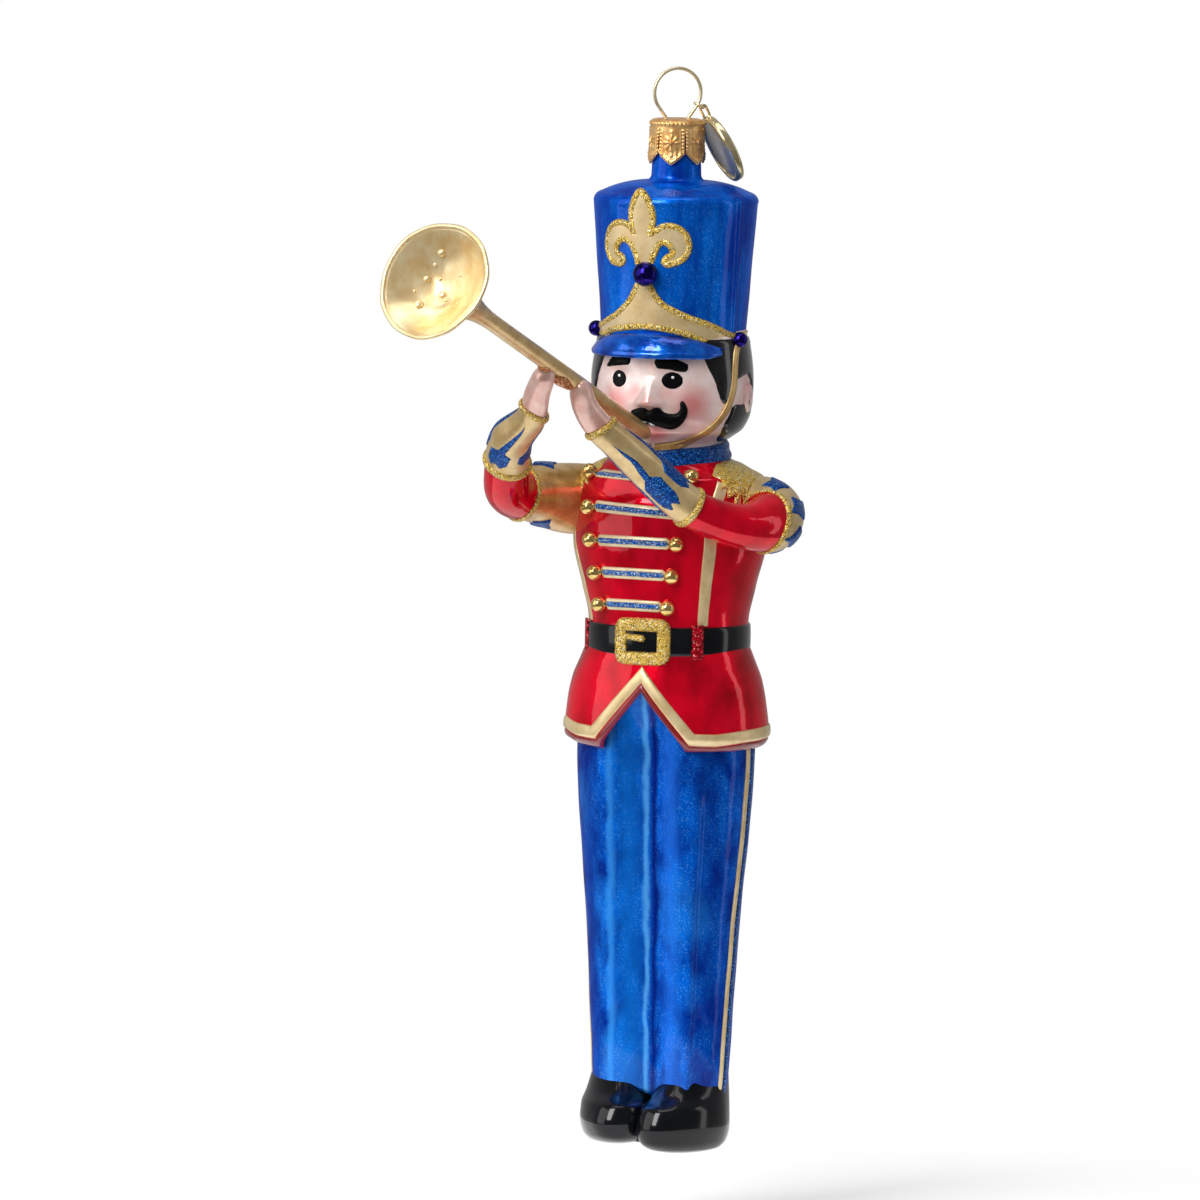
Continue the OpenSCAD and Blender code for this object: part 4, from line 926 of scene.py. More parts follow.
def blown_hat():
    u = circle(220, 360)
    k = np.radians(u)
    rows = [(NECK_R - 0.9, NECK_Z), (NECK_R - 0.25, NECK_Z), (NECK_R, NECK_Z - 0.3)]
    rows += [(NECK_R - 0.12 * sin(pi * t), mix(NECK_Z - 0.3, HAT_Z + 1.3, t))
             for t in np.linspace(0.1, 1, 14)]
    rows += [(NECK_R + 1.4 - 1.4 * cos(a), HAT_Z + 1.3 - 1.3 * sin(a))
             for a in np.radians(np.arange(12, 84, 10))]
    rows += [(mix(NECK_R + 1.4, HAT_TOP_R - 1.6, s), mix(HAT_Z + 0.05, EDGE_Z + 0.85, s ** 1.8))
             for s in np.linspace(0.04, 0.98, 22)]
    rows += [(HAT_TOP_R - 1.6 + 1.6 * cos(a), EDGE_Z - 0.8 + 1.6 * sin(a))
             for a in np.radians(np.linspace(80, 2, 10))]
    p = []
    for r, z in rows:
        rim = np.clip((r - 12) / 3.7, 0, 1) ** 2
        wave = ripple(u, z, HAT_RIPPLE) + 0.3 * bump(u - SEAM_TURN, 2.2) * rim
        wide = r + (wave + 0.12 * rim * np.sin(3 * k + 1)) * (r > 6)
        p.append(around(k, wide, wide, z + 0.25 * rim * np.sin(2 * k + 0.7)))
    p += [ring_at(hat, u, z) for z in np.linspace(EDGE_Z - 1.2, VISOR_Z, 60)]
    sag = 0.9 * np.maximum(bump(u - SEAM_TURN, 32), bump(u - 302, 26))
    for t in (0.15, 0.4, 0.7, 0.9, 1.0):
        r = HAT_LOW_R + BRIM_FLARE * t ** 1.5 + ripple(u, VISOR_Z - t, HAT_RIPPLE)
        p.append(around(k, r, r, VISOR_Z - t * (BRIM_DROP + 0.15 * np.sin(2 * k + 1.2) + sag)))
    p += [around(k, r, r, VISOR_Z + dz) for r, dz in ((14.3, -1.55), (13.2, -1.2), (9, -1.0))]
    tube_piece("hat_and_neck", p, BLUE, SHELL)


def visor():
    """Peak of the hat: a thick rounded crescent that leans a little to the viewer's left."""
    left, right, top, low = -68, 59, -49.15, -53.9
    u = np.linspace(left, right, 80)
    lean = (2 * u - left - right) / (right - left)
    t = np.linspace(0, 1, 12)
    rings = []
    for a, h, q in zip(np.radians(u), top - 2.6 * np.abs(lean) ** 1.9,
                       np.clip(1 - lean ** 2, 0, 1) ** 0.55):
        r0 = HAT_LOW_R - 0.3 + 0.5 * (1 - q)
        r1 = r0 + 0.7 + 2.5 * q
        thick = 0.5 + 0.7 * q
        drop = h - low - thick if q > 0.6 else mix(0.9, h - low - thick, q / 0.6)
        up = [(mix(r0, r1, s), h - drop * s ** 1.9) for s in t]
        tip = [(r1 - 0.05 + 0.25 * sin(b), h - drop - thick / 2 * (1 - cos(b)))
               for b in np.linspace(0.5, pi - 0.5, 6)]
        down = [(r, z - thick) for r, z in up[::-1]]
        rings.append([[r * sin(a), -r * cos(a), z] for r, z in up + tip + down])
    tube_piece("hat_visor", rings, VISOR_BLUE, angle=60)


def raised(path, by):
    return [(u, z + by) for u, z in path]


# Outlines on the hat, as (turn in degrees, level in millimetres). Those on the head, the coat
# and the legs are given so too.
FLEUR = [(-7.2, -22.6), (-4.6, -22.3), (-1.2, -23.5), (1.8, -24.8), (3.4, -26.3), (3.6, -28.0),
         (2.2, -29.6), (1.6, -30.4), (5.0, -29.9), (10.5, -28.9), (16.5, -28.7), (22.5, -29.2),
         (27.5, -30.4), (29.8, -32.2), (28.6, -33.9), (24.5, -35.1), (19.5, -35.7), (14.5, -36.0),
         (12.0, -35.6), (14.2, -34.7), (18.0, -34.1), (17.6, -33.0), (15.0, -32.1), (11.5, -31.8),
         (8.5, -32.1), (6.0, -33.1), (4.2, -34.2), (2.6, -35.3), (0.6, -36.6), (-4.0, -36.9),
         (-7.6, -36.4), (-9.0, -34.9), (-11.0, -33.5), (-14.0, -32.3), (-18.0, -31.6),
         (-22.0, -31.6), (-25.5, -32.3), (-27.6, -33.3), (-26.6, -34.3), (-22.5, -34.9),
         (-20.8, -35.5), (-23.5, -36.2), (-28.5, -36.2), (-33.5, -35.8), (-37.2, -34.6),
         (-38.6, -33.2), (-37.0, -31.4), (-33.6, -29.8), (-28.5, -28.8), (-22.5, -28.4),
         (-16.5, -28.7), (-12.0, -29.8), (-11.0, -30.4), (-12.4, -28.8), (-13.0, -27.0),
         (-12.2, -25.4), (-10.2, -24.0)]
BAND_TOP = [(-75, -49.0), (-55, -48.3), (-33.5, -46.4), (-23, -44.8), (-15.5, -43.0),
            (-11.5, -41.4), (-8.2, -39.8)]
BAND_TOP2 = [(0.6, -39.8), (4.5, -41.8), (10.5, -43.6), (20.5, -45.0), (29.5, -46.0), (38.5, -46.8),
             (48.5, -47.6), (58.5, -48.6), (69, -49.6), (79, -50.3)]
BAND_LOW = [(86, -52.1), (76, -52.5), (66, -52.3), (56, -51.7), (46, -50.8), (37, -49.9),
            (29, -49.2), (19, -48.6), (9, -48.2), (-2, -48.0), (-12, -48.1), (-24, -48.5),
            (-37, -49.1), (-48, -49.8), (-58, -50.3), (-75, -50.9)]


def bead_on_hat(name, u, z, d, node):
    k = radians(u)
    way = np.array([sin(k), -cos(k), -0.07])
    ball(name, point_on(hat, u, z) + way * (0.34 * d), way, d / 2, BEAD, "ink_blue_bead", (node,),
         flat=0.68)


def hat_dress():
    patch("fleur_fill", hat, FLEUR, 0.22, GILT, step=0.36)
    line("fleur_glitter_edge", hat, FLEUR, 1.5, 0.42, GOLD_GLITTER, closed=True, step=0.3)
    patch("hat_band_fill", hat, BAND_TOP + BAND_TOP2 + BAND_LOW, 0.2, GILT, sharp=True, step=0.45)
    for word, path, width, height in (("left", BAND_TOP, 1.45, 0.4),
                                      ("right", BAND_TOP2, 1.45, 0.4),
                                      ("low", BAND_LOW, 1.5, 0.38)):
        line("hat_band_glitter_" + word, hat, path, width, height, GOLD_GLITTER)
    back = [(u, -50.7 - 0.25 * cos(radians(2 * u))) for u in np.linspace(80, 280, 40)]
    line("hat_band_back", hat, back, 1.6, 0.25, GILT)
    line("hat_band_back_glitter", hat, raised(back, 0.9), 0.7, 0.34, GOLD_GLITTER)
    bead_on_hat("hat_front_bead", 0, -37.73, 4.8, "front_bead")
    bead_on_hat("hat_right_bead", -78, VISOR_Z + 0.4, 3.0, "right_bead")
    bead_on_hat("hat_left_bead", 78, VISOR_Z - 0.6, 3.0, "left_bead")


# ---------------------------------------------------------------- head


def head_skin():
    z = np.concatenate([np.linspace(CHIN_Z - 1.5, -69.5, 10), np.linspace(-69.3, -56.5, 84),
                        np.linspace(-56.2, VISOR_Z + 1, 22)])
    tube_piece("face_and_neck", [ring_at(head, circle(300, 360), h) for h in z], SKIN, SHELL)


RIGHT_HAIR = [(41, -50.6), (42, -53.9), (45, -55.8), (49.5, -57.9), (53, -60), (56, -61.9),
              (60, -62.7), (67, -62.9), (69.6, -61.6), (70.5, -59.4), (73.5, -58.2), (79, -57.8),
              (88, -57.4), (95, -58.6), (98.5, -60.4), (96, -62.2), (88, -62.8), (80, -62.9),
              (73, -62.8), (68.5, -63.3), (66.5, -64.8), (64, -66.4), (64, -68.0), (67, -69.4),
              (76, -70.4), (100, -70.4), (132, -70.5), (156, -70.5), (180, -70.5)]


def oval(u, z, wide, high, count):
    return [(u + wide * cos(a), z + high * sin(a)) for a in circle(count)]


def hair():
    left = [(360 - u, z) for u, z in RIGHT_HAIR[::-1][1:]]
    outline = RIGHT_HAIR + left + [(u, -50.3) for u in range(310, 45, -8)]
    patch("hair_cap", head, outline, 0.3, HAIR, sharp=True, step=0.6, edge=0.5)
    patch("brow_right", head, [(-38, -56.1), (-35, -54.8), (-30.5, -53.8), (-23, -53.3),
                               (-16.5, -53.4), (-14.0, -54.2), (-15, -55.4), (-22.5, -55.7),
                               (-31, -56.0)], 0.28, EYE, step=0.25)
    patch("brow_left", head, [(4.8, -54.6), (8, -53.5), (13, -53.4), (18.5, -53.7), (24.5, -54.3),
                              (30, -55.1), (28.6, -56.4), (22, -56.4), (16.5, -56.1), (11, -56.0),
                              (7, -55.8)], 0.28, EYE, step=0.25)
    for name, mu, mz, w, h in (("eye_right", -24.5, -58.2, 7.0, 1.7),
                               ("eye_left", 18.4, -58.1, 8.2, 1.7)):
        patch(name, head, oval(mu, mz, w, h, 20), 0.2, EYE, step=0.22, edge=1.2)
        # A small white oval on each eye: a painted highlight.
        patch(name + "_painted_highlight", head, oval(mu + 0.4, mz + 0.6, 1.3, 0.32, 10), 0.12, EYE_PAINTED_HIGHLIGHT,
              step=0.12, base=0.2)
    moustache = [(-12.5, -64.2), (-7.5, -63.6), (-1.5, -63.4), (2.2, -63.9), (6.5, -63.3),
                 (10, -63.4), (13, -64.1), (17.5, -64.4), (22, -64.3), (24.3, -63.7), (24.6, -62.9),
                 (24.4, -62.3), (26.3, -61.9), (28.6, -62.6), (30.2, -63.6), (29.8, -65.0),
                 (27.4, -66.3), (23.5, -67.2), (18, -67.5), (12, -67.2), (6.5, -66.8), (1, -66.3),
                 (-3.5, -66.1), (-8.5, -65.8), (-12, -65.3)]
    patch("moustache", head, moustache, 0.75, EYE, step=0.26, edge=1.3, base=0.15)
    line("moustache_glitter", head, [(-11.5, -65.0), (-7, -65.7), (-2.5, -66.1), (2, -66.3),
                                     (7, -66.7)], 0.55, 0.35, SILVER_GLITTER, step=0.2, base=0.25)
    strap = [(79, -51.0), (73.5, -52.6), (70.5, -54.8), (69, -57.1), (67.5, -59.9), (64.5, -62.7),
             (59.5, -65.1), (52.5, -67.3), (43, -69.2), (30, -70.5), (14, -71.2), (2, -71.5)]
    other = [(-min(u + 14 * min(1, (z - strap[-1][1]) / 9), 88), z) for u, z in strap]
    for word, path in (("left", strap), ("right", other)):
        line("chin_strap_" + word, head, path, 1.8, 0.3, STRAP, base=0.3)


def ears():
    """Each ear is turned: (out, radius) pairs from its root over the rolled edge to the middle."""
    profile = ((-0.6, 2.5), (0.3, 2.75), (1.0, 2.6), (1.35, 2.2), (1.3, 1.75), (0.8, 1.35),
               (0.45, 0.9), (0.4, 0.3))
    a = circle(40)
    for side, word in HANDS:
        c = np.array([side * HEAD_R, 0.4, mix(CHIN_Z, VISOR_Z, 0.45) - 0.1])
        rings = [c + np.stack([side * (h + 0.15 * np.cos(a)), -r * 0.78 * np.cos(a),
                               r * np.sin(a) * (1.05 - 0.1 * np.sin(a))], -1) for h, r in profile]
        tube_piece("ear_" + word, rings, SKIN)


def collar():
    u = circle(180, 360)
    rows = [(0.05, -2.0)]
    for t in np.linspace(0, 1, 13):
        out = 0.55 * sin(pi * min(max(t, 0.02), 0.98)) ** 0.5
        rows.append((mix(0.1, -3.5, t), out + 0.15 * sin(pi * t * 3) - 0.35))
    rows.append((-3.6, -2.5))
    rings = [throat(u, np.full_like(u, CHIN_Z + dz), out) for dz, out in rows]
    tube_piece("collar_band", rings, BLUE_GLITTER)


# ---------------------------------------------------------------- coat


def coat():
    z = np.concatenate([np.linspace(CHIN_Z - 2.2, CHIN_Z - 7, 22),
                        np.linspace(CHIN_Z - 7.4, SKIRT_Z - 1, 66)])
    tube_piece("coat_body", [ring_at(body, circle(240, 360), h) for h in z], RED, SHELL)


HEM_EDGE = [(-180, -128.5), (-120, -128.5), (-62, -127.5), (-44, -128.4), (-27, -128.8),
            (1.2, -117.5), (28.5, -128.9), (46, -128.9), (66, -128.7), (105, -128.2), (180, -128.5)]
TRIM_LOW = [(-180, -126.9), (-120, -126.9), (-62, -125.9), (-44, -126.8), (-27.5, -127.0),
            (1.2, -115.9), (29.5, -127.6), (46, -127.8), (66, -127.1), (105, -126.6), (180, -126.9)]
TRIM_HIGH = [(-180, -124.4), (-120, -124.4), (-62, -123.4), (-44, -124.2), (-30.5, -124.4),
             (1.2, -112.4), (32.5, -125.1), (46, -125.2), (66, -124.6), (105, -124.0),
             (180, -124.4)]


def coat_skirt():
    corners = [edge[i][0] for edge in (HEM_EDGE, TRIM_LOW, TRIM_HIGH) for i in (4, 5, 6)]
    us = np.unique(np.concatenate([np.linspace(-180, 180, 220), corners]))[:-1]
    low = np.interp(us, *zip(*HEM_EDGE))
    rows = [skirt(us, mix(SKIRT_Z + 1.5, low, t), -0.25 * (t > 0.99))
            for t in np.linspace(0, 1, 44)]
    rows += [skirt(us, mix(low + 0.1, SKIRT_Z - 2, t), out)
             for t, out in ((0.0, -0.8), (0.02, -1.2), (0.2, -1.3), (0.5, -1.2), (0.8, -1.2))]
    tube_piece("coat_skirt", rows, RED, SHELL)
    us = np.append(us, 180)
    band("skirt_trim", skirt, us, TRIM_LOW, TRIM_HIGH, 0.34, GILT, 11, 0.35)
    band("skirt_under_edge", skirt, us, raised(HEM_EDGE, 0.02), raised(TRIM_LOW, 0.05), 0.16,
         DARK_RED, 6)


def button_place(row, side):
    """Turn and level of a button on the coat."""
    share = (row - 1) / 4
    z = mix(CHIN_Z - 6.0, BELT_Z + 3.9, share)
    x = BUTTON_MID + side * mix(10.4, 6.9, share)
    a = float(look(BODY, z, 1))
    return degrees(asin(x / a)), z


def coat_dress():
    for row in range(1, 6):
        (u0, z), (u1, _) = button_place(row, -1), button_place(row, 1)
        tilt = -0.35 if row < 3 else 0.0
        mid = [(u0 + 3, z - tilt), (mix(u0, u1, 0.5), z + 0.12), (u1 - 3, z + tilt)]
        line("braid_%d" % row, body, mid, 2.4, 0.24, BRAID, taper=0.7, sides=9)
        thread = [(u + du, h) for (u, h), du in zip(mid, (1.5, 0, -1.5))]
        line("braid_%d_glitter" % row, body, thread, 1.15, 0.22, BRAID_GLITTER, base=0.2, taper=0.4)
        for side, word in HANDS:
            u, h = button_place(row, side)
            up = point_on(body, u, h + 0.4) - point_on(body, u, h - 0.4)
            way = unit(np.cross(point_on(body, u + 1, h) - point_on(body, u - 1, h), up))
            way = -way if way[1] > 0 else way
            ball("coat_button_%d_%s" % (row, word),
                 point_on(body, u, h) + way * (0.3 * BUTTON_D + 0.05), way, BUTTON_D / 2, BUTTON,
                 "gilded_button", ("button_%d_%s" % (row, word),), flat=0.6)
    on_left = [(50, -77.6), (45.5, -81), (42.6, -85), (41.6, -89), (41.4, -93), (42.6, -98),
             (44.5, -104.9)]
    on_right = [(-62, -78), (-66, -83), (-66, -88), (-61, -93), (-58.5, -98.5), (-57, -104.9)]
    for word, path in (("left", on_left), ("right", on_right)):
        line("coat_stripe_" + word, body, path, 2.75, 0.22, GILT, sides=9)
    line("back_seam_stripe", body, [(180, -75), (180, -90), (180, -104.9)], 1.6, 0.2, GILT)
    burst = [(44, -76.2), (52, -75.1), (62, -74.3), (80, -73.9), (100, -73.9), (118, -74.4),
             (128, -76.2), (118, -77.2), (112, -79.4), (106, -78.0), (101, -80.8), (95, -78.4),
             (90, -79.2), (84, -82.4), (79, -79.0), (73, -78.4), (66.5, -81.6), (64, -79.6),
             (57.5, -83.2), (58, -80.0), (52, -80.6), (53, -78.6), (45.5, -78.9), (49.5, -77.2)]
    armhole = [(64, -77.5), (62, -80), (62, -83), (65, -86), (72, -88)]
    for side, word in HANDS:
        patch("epaulette_" + word, body, [(side * u, z) for u, z in burst], 0.5, GOLD_GLITTER,
              sharp=True, step=0.36, edge=0.5)
        line("armhole_piping_" + word, body, [(side * u, z) for u, z in armhole], 0.9, 0.25, GILT)


def belt():
    u = circle(180, 360)
    mid, high, turn = (BELT_Z + SKIRT_Z) / 2, 2.8, 1 / 0.2545
    edge = ((1.0, -1.5), (1.0, 0.1), (0.97, 0.3), (0.9, 0.42), (0.5, 0.5))
    rows = [(-f, o) for f, o in edge] + [(0, 0.52)] + list(edge[::-1])
    tube_piece("belt_band", [waist(u, np.full_like(u, mid + high * f), o) for f, o in rows], BLACK,
               SHELL, angle=70)
    w, t = 4.0 * turn, 3.2
    loop = []
    for sx, sz, a0 in ((1, 1, 0), (-1, 1, 90), (-1, -1, 180), (1, -1, 270)):
        for b in np.radians(np.array([5, 45, 85]) + a0):
            loop.append((sx * (w - turn) + turn * cos(b), mid + sz * (t - 1) + sin(b)))
    line("buckle_frame", waist, loop, 2.7, 0.75, GOLD_GLITTER, closed=True, base=0.5, sides=13,
         step=0.3)
    prong = [(-w + 0.5, mid + 0.9), (-6, mid + 0.75), (3, mid + 0.55)]
    line("buckle_prong", waist, prong, 1.45, 0.6, GOLD_GLITTER, base=0.5, taper=0.4)
    for word, u in (("left", 40), ("right", -61)):
        line("belt_keeper_" + word, waist, [(u, mid + 3.3), (u, mid - 3.3)], 2.5, 0.35, RED_GLITTER,
             base=0.5, sides=9)


# ---------------------------------------------------------------- trousers and boots


def trousers():
    u = circle(300, 360)
    tilt = 1.3 * np.tanh(4 * np.sin(np.radians(u)))
    tube_piece("trousers", [legs(u, h - tilt * np.clip((-184 - h) / 10, 0, 1))
                            for h in np.linspace(HEM_Z + 14.5, BOOT_Z - 2.6, 114)], TROUSER_BLUE,
               SHELL)
    for side, word in HANDS:
        low = -194.9 if side > 0 else -193.0
        path = [(side * a, z) for a, z in ((84, -127), (83, -150), (81, -172), (78, low))]
        line("trouser_stripe_" + word, legs, path, 1.7, 0.22, GILT, sides=9)
        line("trouser_glitter_" + word, legs, [(a + side * 8.4, z) for a, z in path], 2.0, 0.3,
             BLUE_GLITTER)


BOOT = dense([(0, 0.5, 0.5, 3.2), (0.05, 0.78, 0.76, 3.3), (0.16, 0.93, 0.93, 3.4),
              (0.35, 1, 1, 3.4), (0.6, 0.98, 0.95, 2.9), (0.8, 0.9, 0.8, 0.9),
              (1.05, 0.83, 0.66, -0.6)])


def boots():
    k = circle(72)
    for side, word in HANDS:
        rings = []
        low = SOLE_Z + (1 - side) * 0.6
        aside, fat = (0.4, 1.04) if side < 0 else (0, 1)
        for s in np.concatenate([[0, 0.012, 0.03], np.linspace(0.05, 1.05, 34)]):
            a, b, f = (look(BOOT, s, i) * size for i, size in enumerate((BOOT_W / 2, BOOT_L / 2, 1),
                    1))
            wave = 1 + 0.012 * max(0, 1 - s) * np.sin(3 * k + s * 4)
            y = b * np.sin(k) * wave - f
            x = side * (6.9 - 2.5 * np.clip((-y - 2) / 12, 0, 1) ** 1.3) - aside
            rings.append(np.stack([x + a * fat * np.cos(k) * wave, y, mix(low, BOOT_Z, s) + 0 * k],
                                  -1))
        tube_piece("boot_" + word, rings, BLACK, SHELL)
    rings = []
    for s in np.linspace(0, 0.85, 16):
        r = 0.36 - 0.3 * s * s
        y = BOOT_L * r * np.sin(k) - look(BOOT, s, 3) + 3.0
        rings.append(np.stack([BOOT_W * r * np.cos(k), y, mix(SOLE_Z + 1.7, BOOT_Z, s) + 0 * k],
                              -1))
    tube_piece("boot_bridge", rings, BLACK)


# ---------------------------------------------------------------- arms


def slant(edge, u):
    """Level round an arm, from (level, tilt, turn of the tilt)."""
    return edge[0] + edge[1] * np.cos(np.radians(u - edge[2]))


def zone(name, surface, low, high, look_, rows, node, out=0.0):
    """Part of an arm between two slanting levels."""
    u = circle(72, 360)
    rings = [surface(u, mix(slant(low, u), slant(high, u), t), out)
             for t in np.linspace(0, 1, rows)]
    tube_piece(name, rings, look_, (node,), SLEEVE)


# The gems and the arrows on the sleeves, as shares of their half width and their length.
DIAMOND = ((-1, 0), (-0.35, 0.45), (0, 1), (0.35, 0.45), (1, 0), (0.35, -0.45), (0, -1),
           (-0.35, -0.45))
BARB = [(0.2, 0.72), (0.34, 0.42), (0.36, 0.3), (1, 0.24), (0.92, 0.1), (0.4, 0.04)]
ARROW = [(0, 1)] + [(-a, b) for a, b in BARB] + [(0, 0.08)] + BARB[::-1]


def arms():
    sets = (
        ("right", -1, AMBER, (2.55, 0.3, 160), (4.45, 0.06, 20), (6.3, 0.2, 10), (9.0, 0, 0),
         ((100, 1.85), (262, 1.9), (345, 1.7)),
         ((50, 4.55, 6.2), (140, 4.6, 6.12), (230, 4.6, 6.2), (320, 4.6, 6.25)), 36),
        ("left", 1, CUFF, (2.1, 0.28, 125), (4.05, 0.05, 0), (6.9, 0.15, 120), (10.0, 0, 0),
         ((264, 1.35), (206, 1.72), (150, 1.9), (90, 1.7), (20, 1.4)),
         ((152, 4.12, 6.75), (240, 4.15, 6.7), (330, 4.15, 6.7), (65, 4.15, 6.7)), 38),
    )
    for word, side, top, shoulder, cuff, wrist, end, gems, arrows, wide in sets:
        surface = arm(side)
        below = (wrist[0] - 0.1, wrist[1], wrist[2])
        for name, low, high, look_, rows, out in (("shoulder_", (0.0, 0, 0), shoulder, top, 40,
                                                   0.0), ("sleeve_", shoulder, cuff, RED, 36, 0.0),
                                                  ("cuff_", cuff, wrist, CUFF, 40, 0.12),
                                                  ("hand_", below, end, HAND, 50, -0.05)):
            zone(name + word, surface, low, high, look_, rows, word + "_arm", out)
        for name, edge, width, height, base in (("shoulder", shoulder, 1.6, 0.42, 0.0),
                                                ("cuff", cuff, 1.5, 0.45, 0.1),
                                                ("wrist", wrist, 1.4, 0.45, 0.1)):
            path = [(u, slant(edge, u)) for u in range(0, 361, 12)]
            line(name + "_ring_" + word, surface, path, width, height, GOLD_GLITTER, SLEEVE,
                 base=base, step=0.35)
        for i, (u, s) in enumerate(gems, 1):
            outline = [(u + 27 * a, s + 0.42 * b) for a, b in DIAMOND]
            patch("shoulder_diamond_%s_%d" % (word, i), surface, outline, 0.35, BLUE_GLITTER,
                  SLEEVE, sharp=True, step=0.3)
        for i, (u, s0, s1) in enumerate(arrows, 1):
            outline = [(u + wide * a, mix(s0, s1, b)) for a, b in ARROW]
            patch("cuff_arrow_%s_%d" % (word, i), surface, outline, 0.32, BLUE_GLITTER, SLEEVE,
                  sharp=True, step=0.28)


# ---------------------------------------------------------------- trumpet


DISH_R, DISH_DROP = BELL_D / 2 - LIP_T - 0.15, DISH_DEPTH - 0.35


def dish_at(q):
    """Distance along the trumpet of the dish at a share q of its radius."""
    return TRUMPET_LEN - 0.35 - DISH_DROP * (1 - q * q) ** 1.2


def trumpet():
    u = circle(96, 360)
    k = np.radians(u)
    tube = TRUMPET_LEN - FLARE_LEN
    flare = tube + (FLARE_LEN - 0.6) * np.linspace(0.03, 1, 40) ** 0.85
    rings = [horn(u, np.full_like(u, s), o)
             for s, o in ((-0.02, -1.25), (0.05, -0.7), (0.3, -0.25), (0.8, 0.0))]
    rings += [ring_at(horn, u, s) for s in np.concatenate([np.linspace(2, tube, 30), flare])]
    edge = BELL_D / 2 - 0.1
    roll = []
    for a in np.radians(np.linspace(-20, 175, 14)):
        roll.append((edge - LIP_T * (0.45 - 0.5 * cos(a)), TRUMPET_LEN
                     - LIP_T * 0.42 * (1 - sin(a))))
    inner = [(DISH_R * s, dish_at(s)) for s in np.linspace(0.985, 0.02, 46)]

    def turned(profile, sink=0.0, dents=0.1):
        """Rings of the dish; dents are the slow waves in its glass."""
        rings = []
        for r, s in profile:
            dent = dents * np.sin(3 * k + r * 0.9) * sin(pi * min(1, r / DISH_R))
            r = r * (1 + wobble(k))
            rings.append(axial(s - sink + dent, r * np.cos(k), r * np.sin(k)))
        return rings

    gold = {"replaces": ("trumpet",), "slot": GILDED}
    tube_piece("trumpet_tube_and_bell", rings + turned(inner, 0.06), HORN, **gold)
    bowl = turned(inner[::-1], 0.12) + turned(roll, dents=0.0) + turned(inner)
    # The dish and its bubbles carry the paler gold with the painted reflection.
    tube_piece("trumpet_dish", bowl, DISH_GOLD_WITH_PAINTED_REFLECTION, **gold)
    bubbles = ((-1.97, 6.53, 0.6), (-4.6, 1.77, 0.55), (-1.4, -0.67, 0.66), (-4.67, -3.5, 0.7),
               (-3.36, 4.5, 0.3), (-0.4, -1.6, 0.42), (1.9, 3.1, 0.25), (-2.4, 2.2, 0.3),
               (2.6, -2.2, 0.22), (-6.1, -1.0, 0.3))
    for i, (a, b, r) in enumerate(bubbles, 1):
        h = hypot(a, b)
        q = h / DISH_R
        slope = DISH_DROP * 1.2 * (1 - q * q) ** 0.2 * 2 * q / DISH_R
        way = WAY - slope * (a / h * SIDE + b / h * OVER)
        ball("dish_bubble_%d" % i, axial(dish_at(q) + 0.15 * r, a, b), way, 1.25 * r, DISH_GOLD_WITH_PAINTED_REFLECTION, GILDED,
             flat=0.3, rows=8, turns=16, squash=0.6)


def glue():
    """Lumps of coloured glue under the trumpet, at and between the hands."""
    k = circle(28)
    for word, share, off, r, stretch in (("right_hand", RIGHT_GRIP, (-0.2, 0.2, -1.2), 1.35, 1.9),
                                         ("left_hand", LEFT_GRIP, (0.3, -1.0, -1.0), 1.3, 1.7),
                                         ("between_hands", 0.40, (0.1, -0.2, -1.6), 1.15, 3.4)):
        rings = []
        for x in np.linspace(-pi / 2, pi / 2, 18)[1:-1]:
            wide = r * cos(x) * (1 + 0.12 * np.sin(3 * k + 4 * x)
                                      + 0.08 * np.sin(5 * k - 2 * x))
            rings.append(axial(r * sin(x) * stretch, wide * np.cos(k), 0.9 * wide * np.sin(k),
                               grip(share) + np.array(off)))
        tube_piece("glue_" + word, rings, GLUE_GLITTER, slot=GILDED)


for build in (hanger, crown_cap, jump_ring, charm, blown_hat, visor, hat_dress, head_skin, hair,
              ears, collar, coat, coat_skirt, coat_dress, belt, trousers, boots, arms, trumpet,
              glue):
    build()

# ---------------------------------------------------------------- studio

AZ, EL, ROLL = radians(20), radians(5), radians(1.0)


def heading(az, el):
    return Vector((sin(az) * cos(el), -cos(az) * cos(el), sin(el)))


TOWARD = heading(AZ, EL)
MIDDLE = Vector((0, -0.01, -0.10))
AIM = (-14.858, -100.72)
CAMERA_FAR, VIEW_W, SENSOR_W = 5.0, 0.228, 36
FILL = 0.36
# Brightness that gloss sees, from the back of the room (0) to the camera's side (1).
GLOSS_ROOM = ((0.0, 0.4), (0.2, 0.3), (0.45, 0.18), (0.65, 0.1), (1.0, 0.08))


def studio_floor():
    """Matt white table, low enough for the legs drawn right out, that fades into the backdrop."""
    bpy.ops.mesh.primitive_circle_add(vertices=64, radius=0.2, fill_type="NGON",
                                      location=(0, 0, (SOLE_Z - CLIP_TRAVEL - 1) * MM))
    floor = bpy.context.object
    floor.name = "studio_floor"
    m = Look("pale_floor", Roughness=0.8, Emission_Color=(1, 1, 1, 1), Emission_Strength=0.3)
    m.set("Base Color", m.blend(m.noise(6, 2), (238, 238, 238), (243, 243, 243)))
    fade = m.fade(m.vector("LENGTH", m.co).outputs["Value"], 0.05, 0.18)
    fade = m.times(fade, m.node("LightPath").outputs["Is Camera Ray"])
    white = m.node("Emission", {"Color": (1, 1, 1, 1), "Strength": 1.0})
    shader = m.node("MixShader", {0: fade, 1: m.s.outputs[0], 2: white.outputs[0]})
    m.plug(m.t.nodes["Material Output"].inputs["Surface"], shader.outputs[0])
    floor.data.materials.append(m.m)


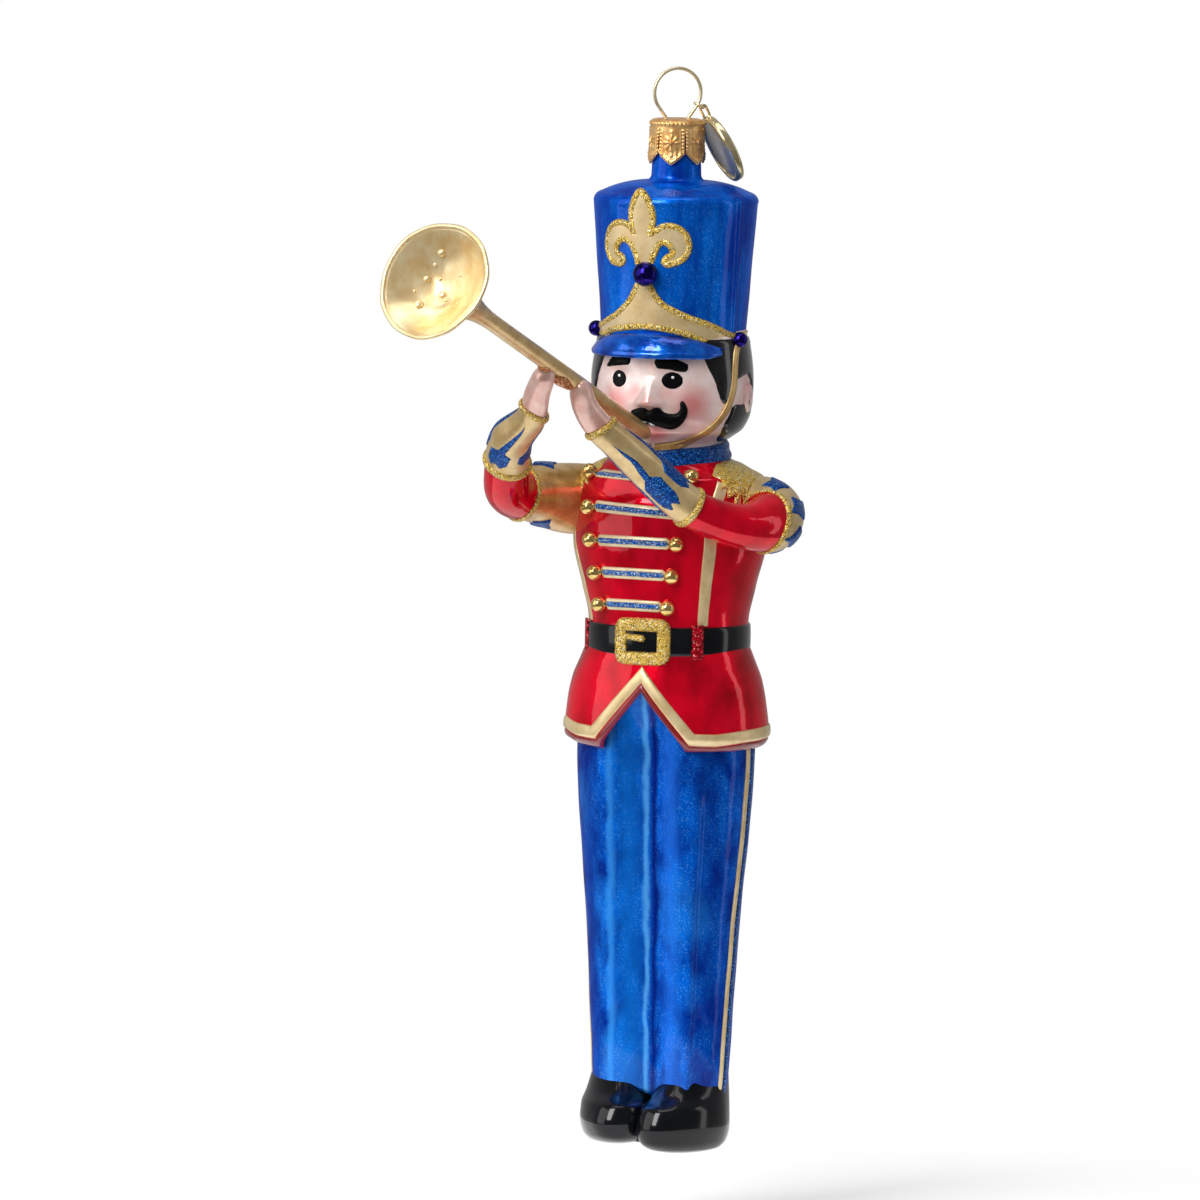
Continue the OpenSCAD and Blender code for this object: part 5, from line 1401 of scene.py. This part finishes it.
def studio_world():
    """White backdrop to the eye, even fill, and for gloss a bright back and a dim camera side."""
    world = bpy.data.worlds.new("studio_white")
    bpy.context.scene.world = world
    world.use_nodes = True
    world.node_tree.nodes.clear()
    w = Nodes(world.node_tree)
    facing = w.vector("DOT_PRODUCT", w.node("TexCoord").outputs["Generated"], TOWARD)
    half = w.math("MULTIPLY_ADD", facing.outputs["Value"], 0.5, 0.5)
    gloss = w.node("Background", {"Color": w.ramp(half, *GLOSS_ROOM)})
    seen = w.node("Background", {"Color": (1, 1, 1, 1)})
    last = w.node("Background", {"Color": (1, 1, 1, 1), "Strength": FILL})
    rays = w.node("LightPath").outputs
    for ray, shader in (("Is Glossy Ray", gloss), ("Is Camera Ray", seen)):
        last = w.node("MixShader", {0: rays[ray], 1: last.outputs[0], 2: shader.outputs[0]})
    w.node("OutputWorld", {"Surface": last.outputs[0]})


def lamp(name, turn, rise, far, size, watts):
    """Softbox at a turn and rise from the camera's own direction, aimed at the figure."""
    at = MIDDLE + far * heading(AZ + radians(turn), EL + radians(rise))
    data = bpy.data.lights.new(name, "AREA")
    data.shape = "RECTANGLE"
    data.size, data.size_y = size
    data.energy = watts
    ob = bpy.data.objects.new(name, data)
    bpy.context.scene.collection.objects.link(ob)
    turn = (MIDDLE - at).to_track_quat("-Z", "Y").to_matrix().to_4x4()
    ob.matrix_world = Matrix.Translation(at) @ turn


def camera():
    across = Vector((cos(AZ), sin(AZ), 0))
    over = TOWARD.cross(across)
    right = across * cos(ROLL) + over * sin(ROLL)
    up = over * cos(ROLL) - across * sin(ROLL)
    target = (right * AIM[0] + up * AIM[1]) * MM
    data = bpy.data.cameras.new("front_camera")
    data.sensor_width = SENSOR_W
    data.lens = SENSOR_W * CAMERA_FAR / VIEW_W
    data.clip_end = CAMERA_FAR * 4
    ob = bpy.data.objects.new("front_camera", data)
    bpy.context.scene.collection.objects.link(ob)
    turn = Matrix((right, up, TOWARD)).transposed().to_4x4()
    ob.matrix_world = Matrix.Translation(target + TOWARD * CAMERA_FAR) @ turn
    bpy.context.scene.camera = ob


studio_floor()
studio_world()
lamp("key_softbox", -32, 32, 0.9, (0.32, 0.62), 6.4)
lamp("left_softbox", -72, 14, 0.8, (0.6, 0.8), 2.2)
lamp("right_strip", 84, 4, 0.8, (0.12, 0.9), 0.5)
lamp("top_softbox", 0, 78, 0.7, (0.4, 0.3), 0.8)
camera()
bpy.context.scene.view_settings.view_transform = "Standard"
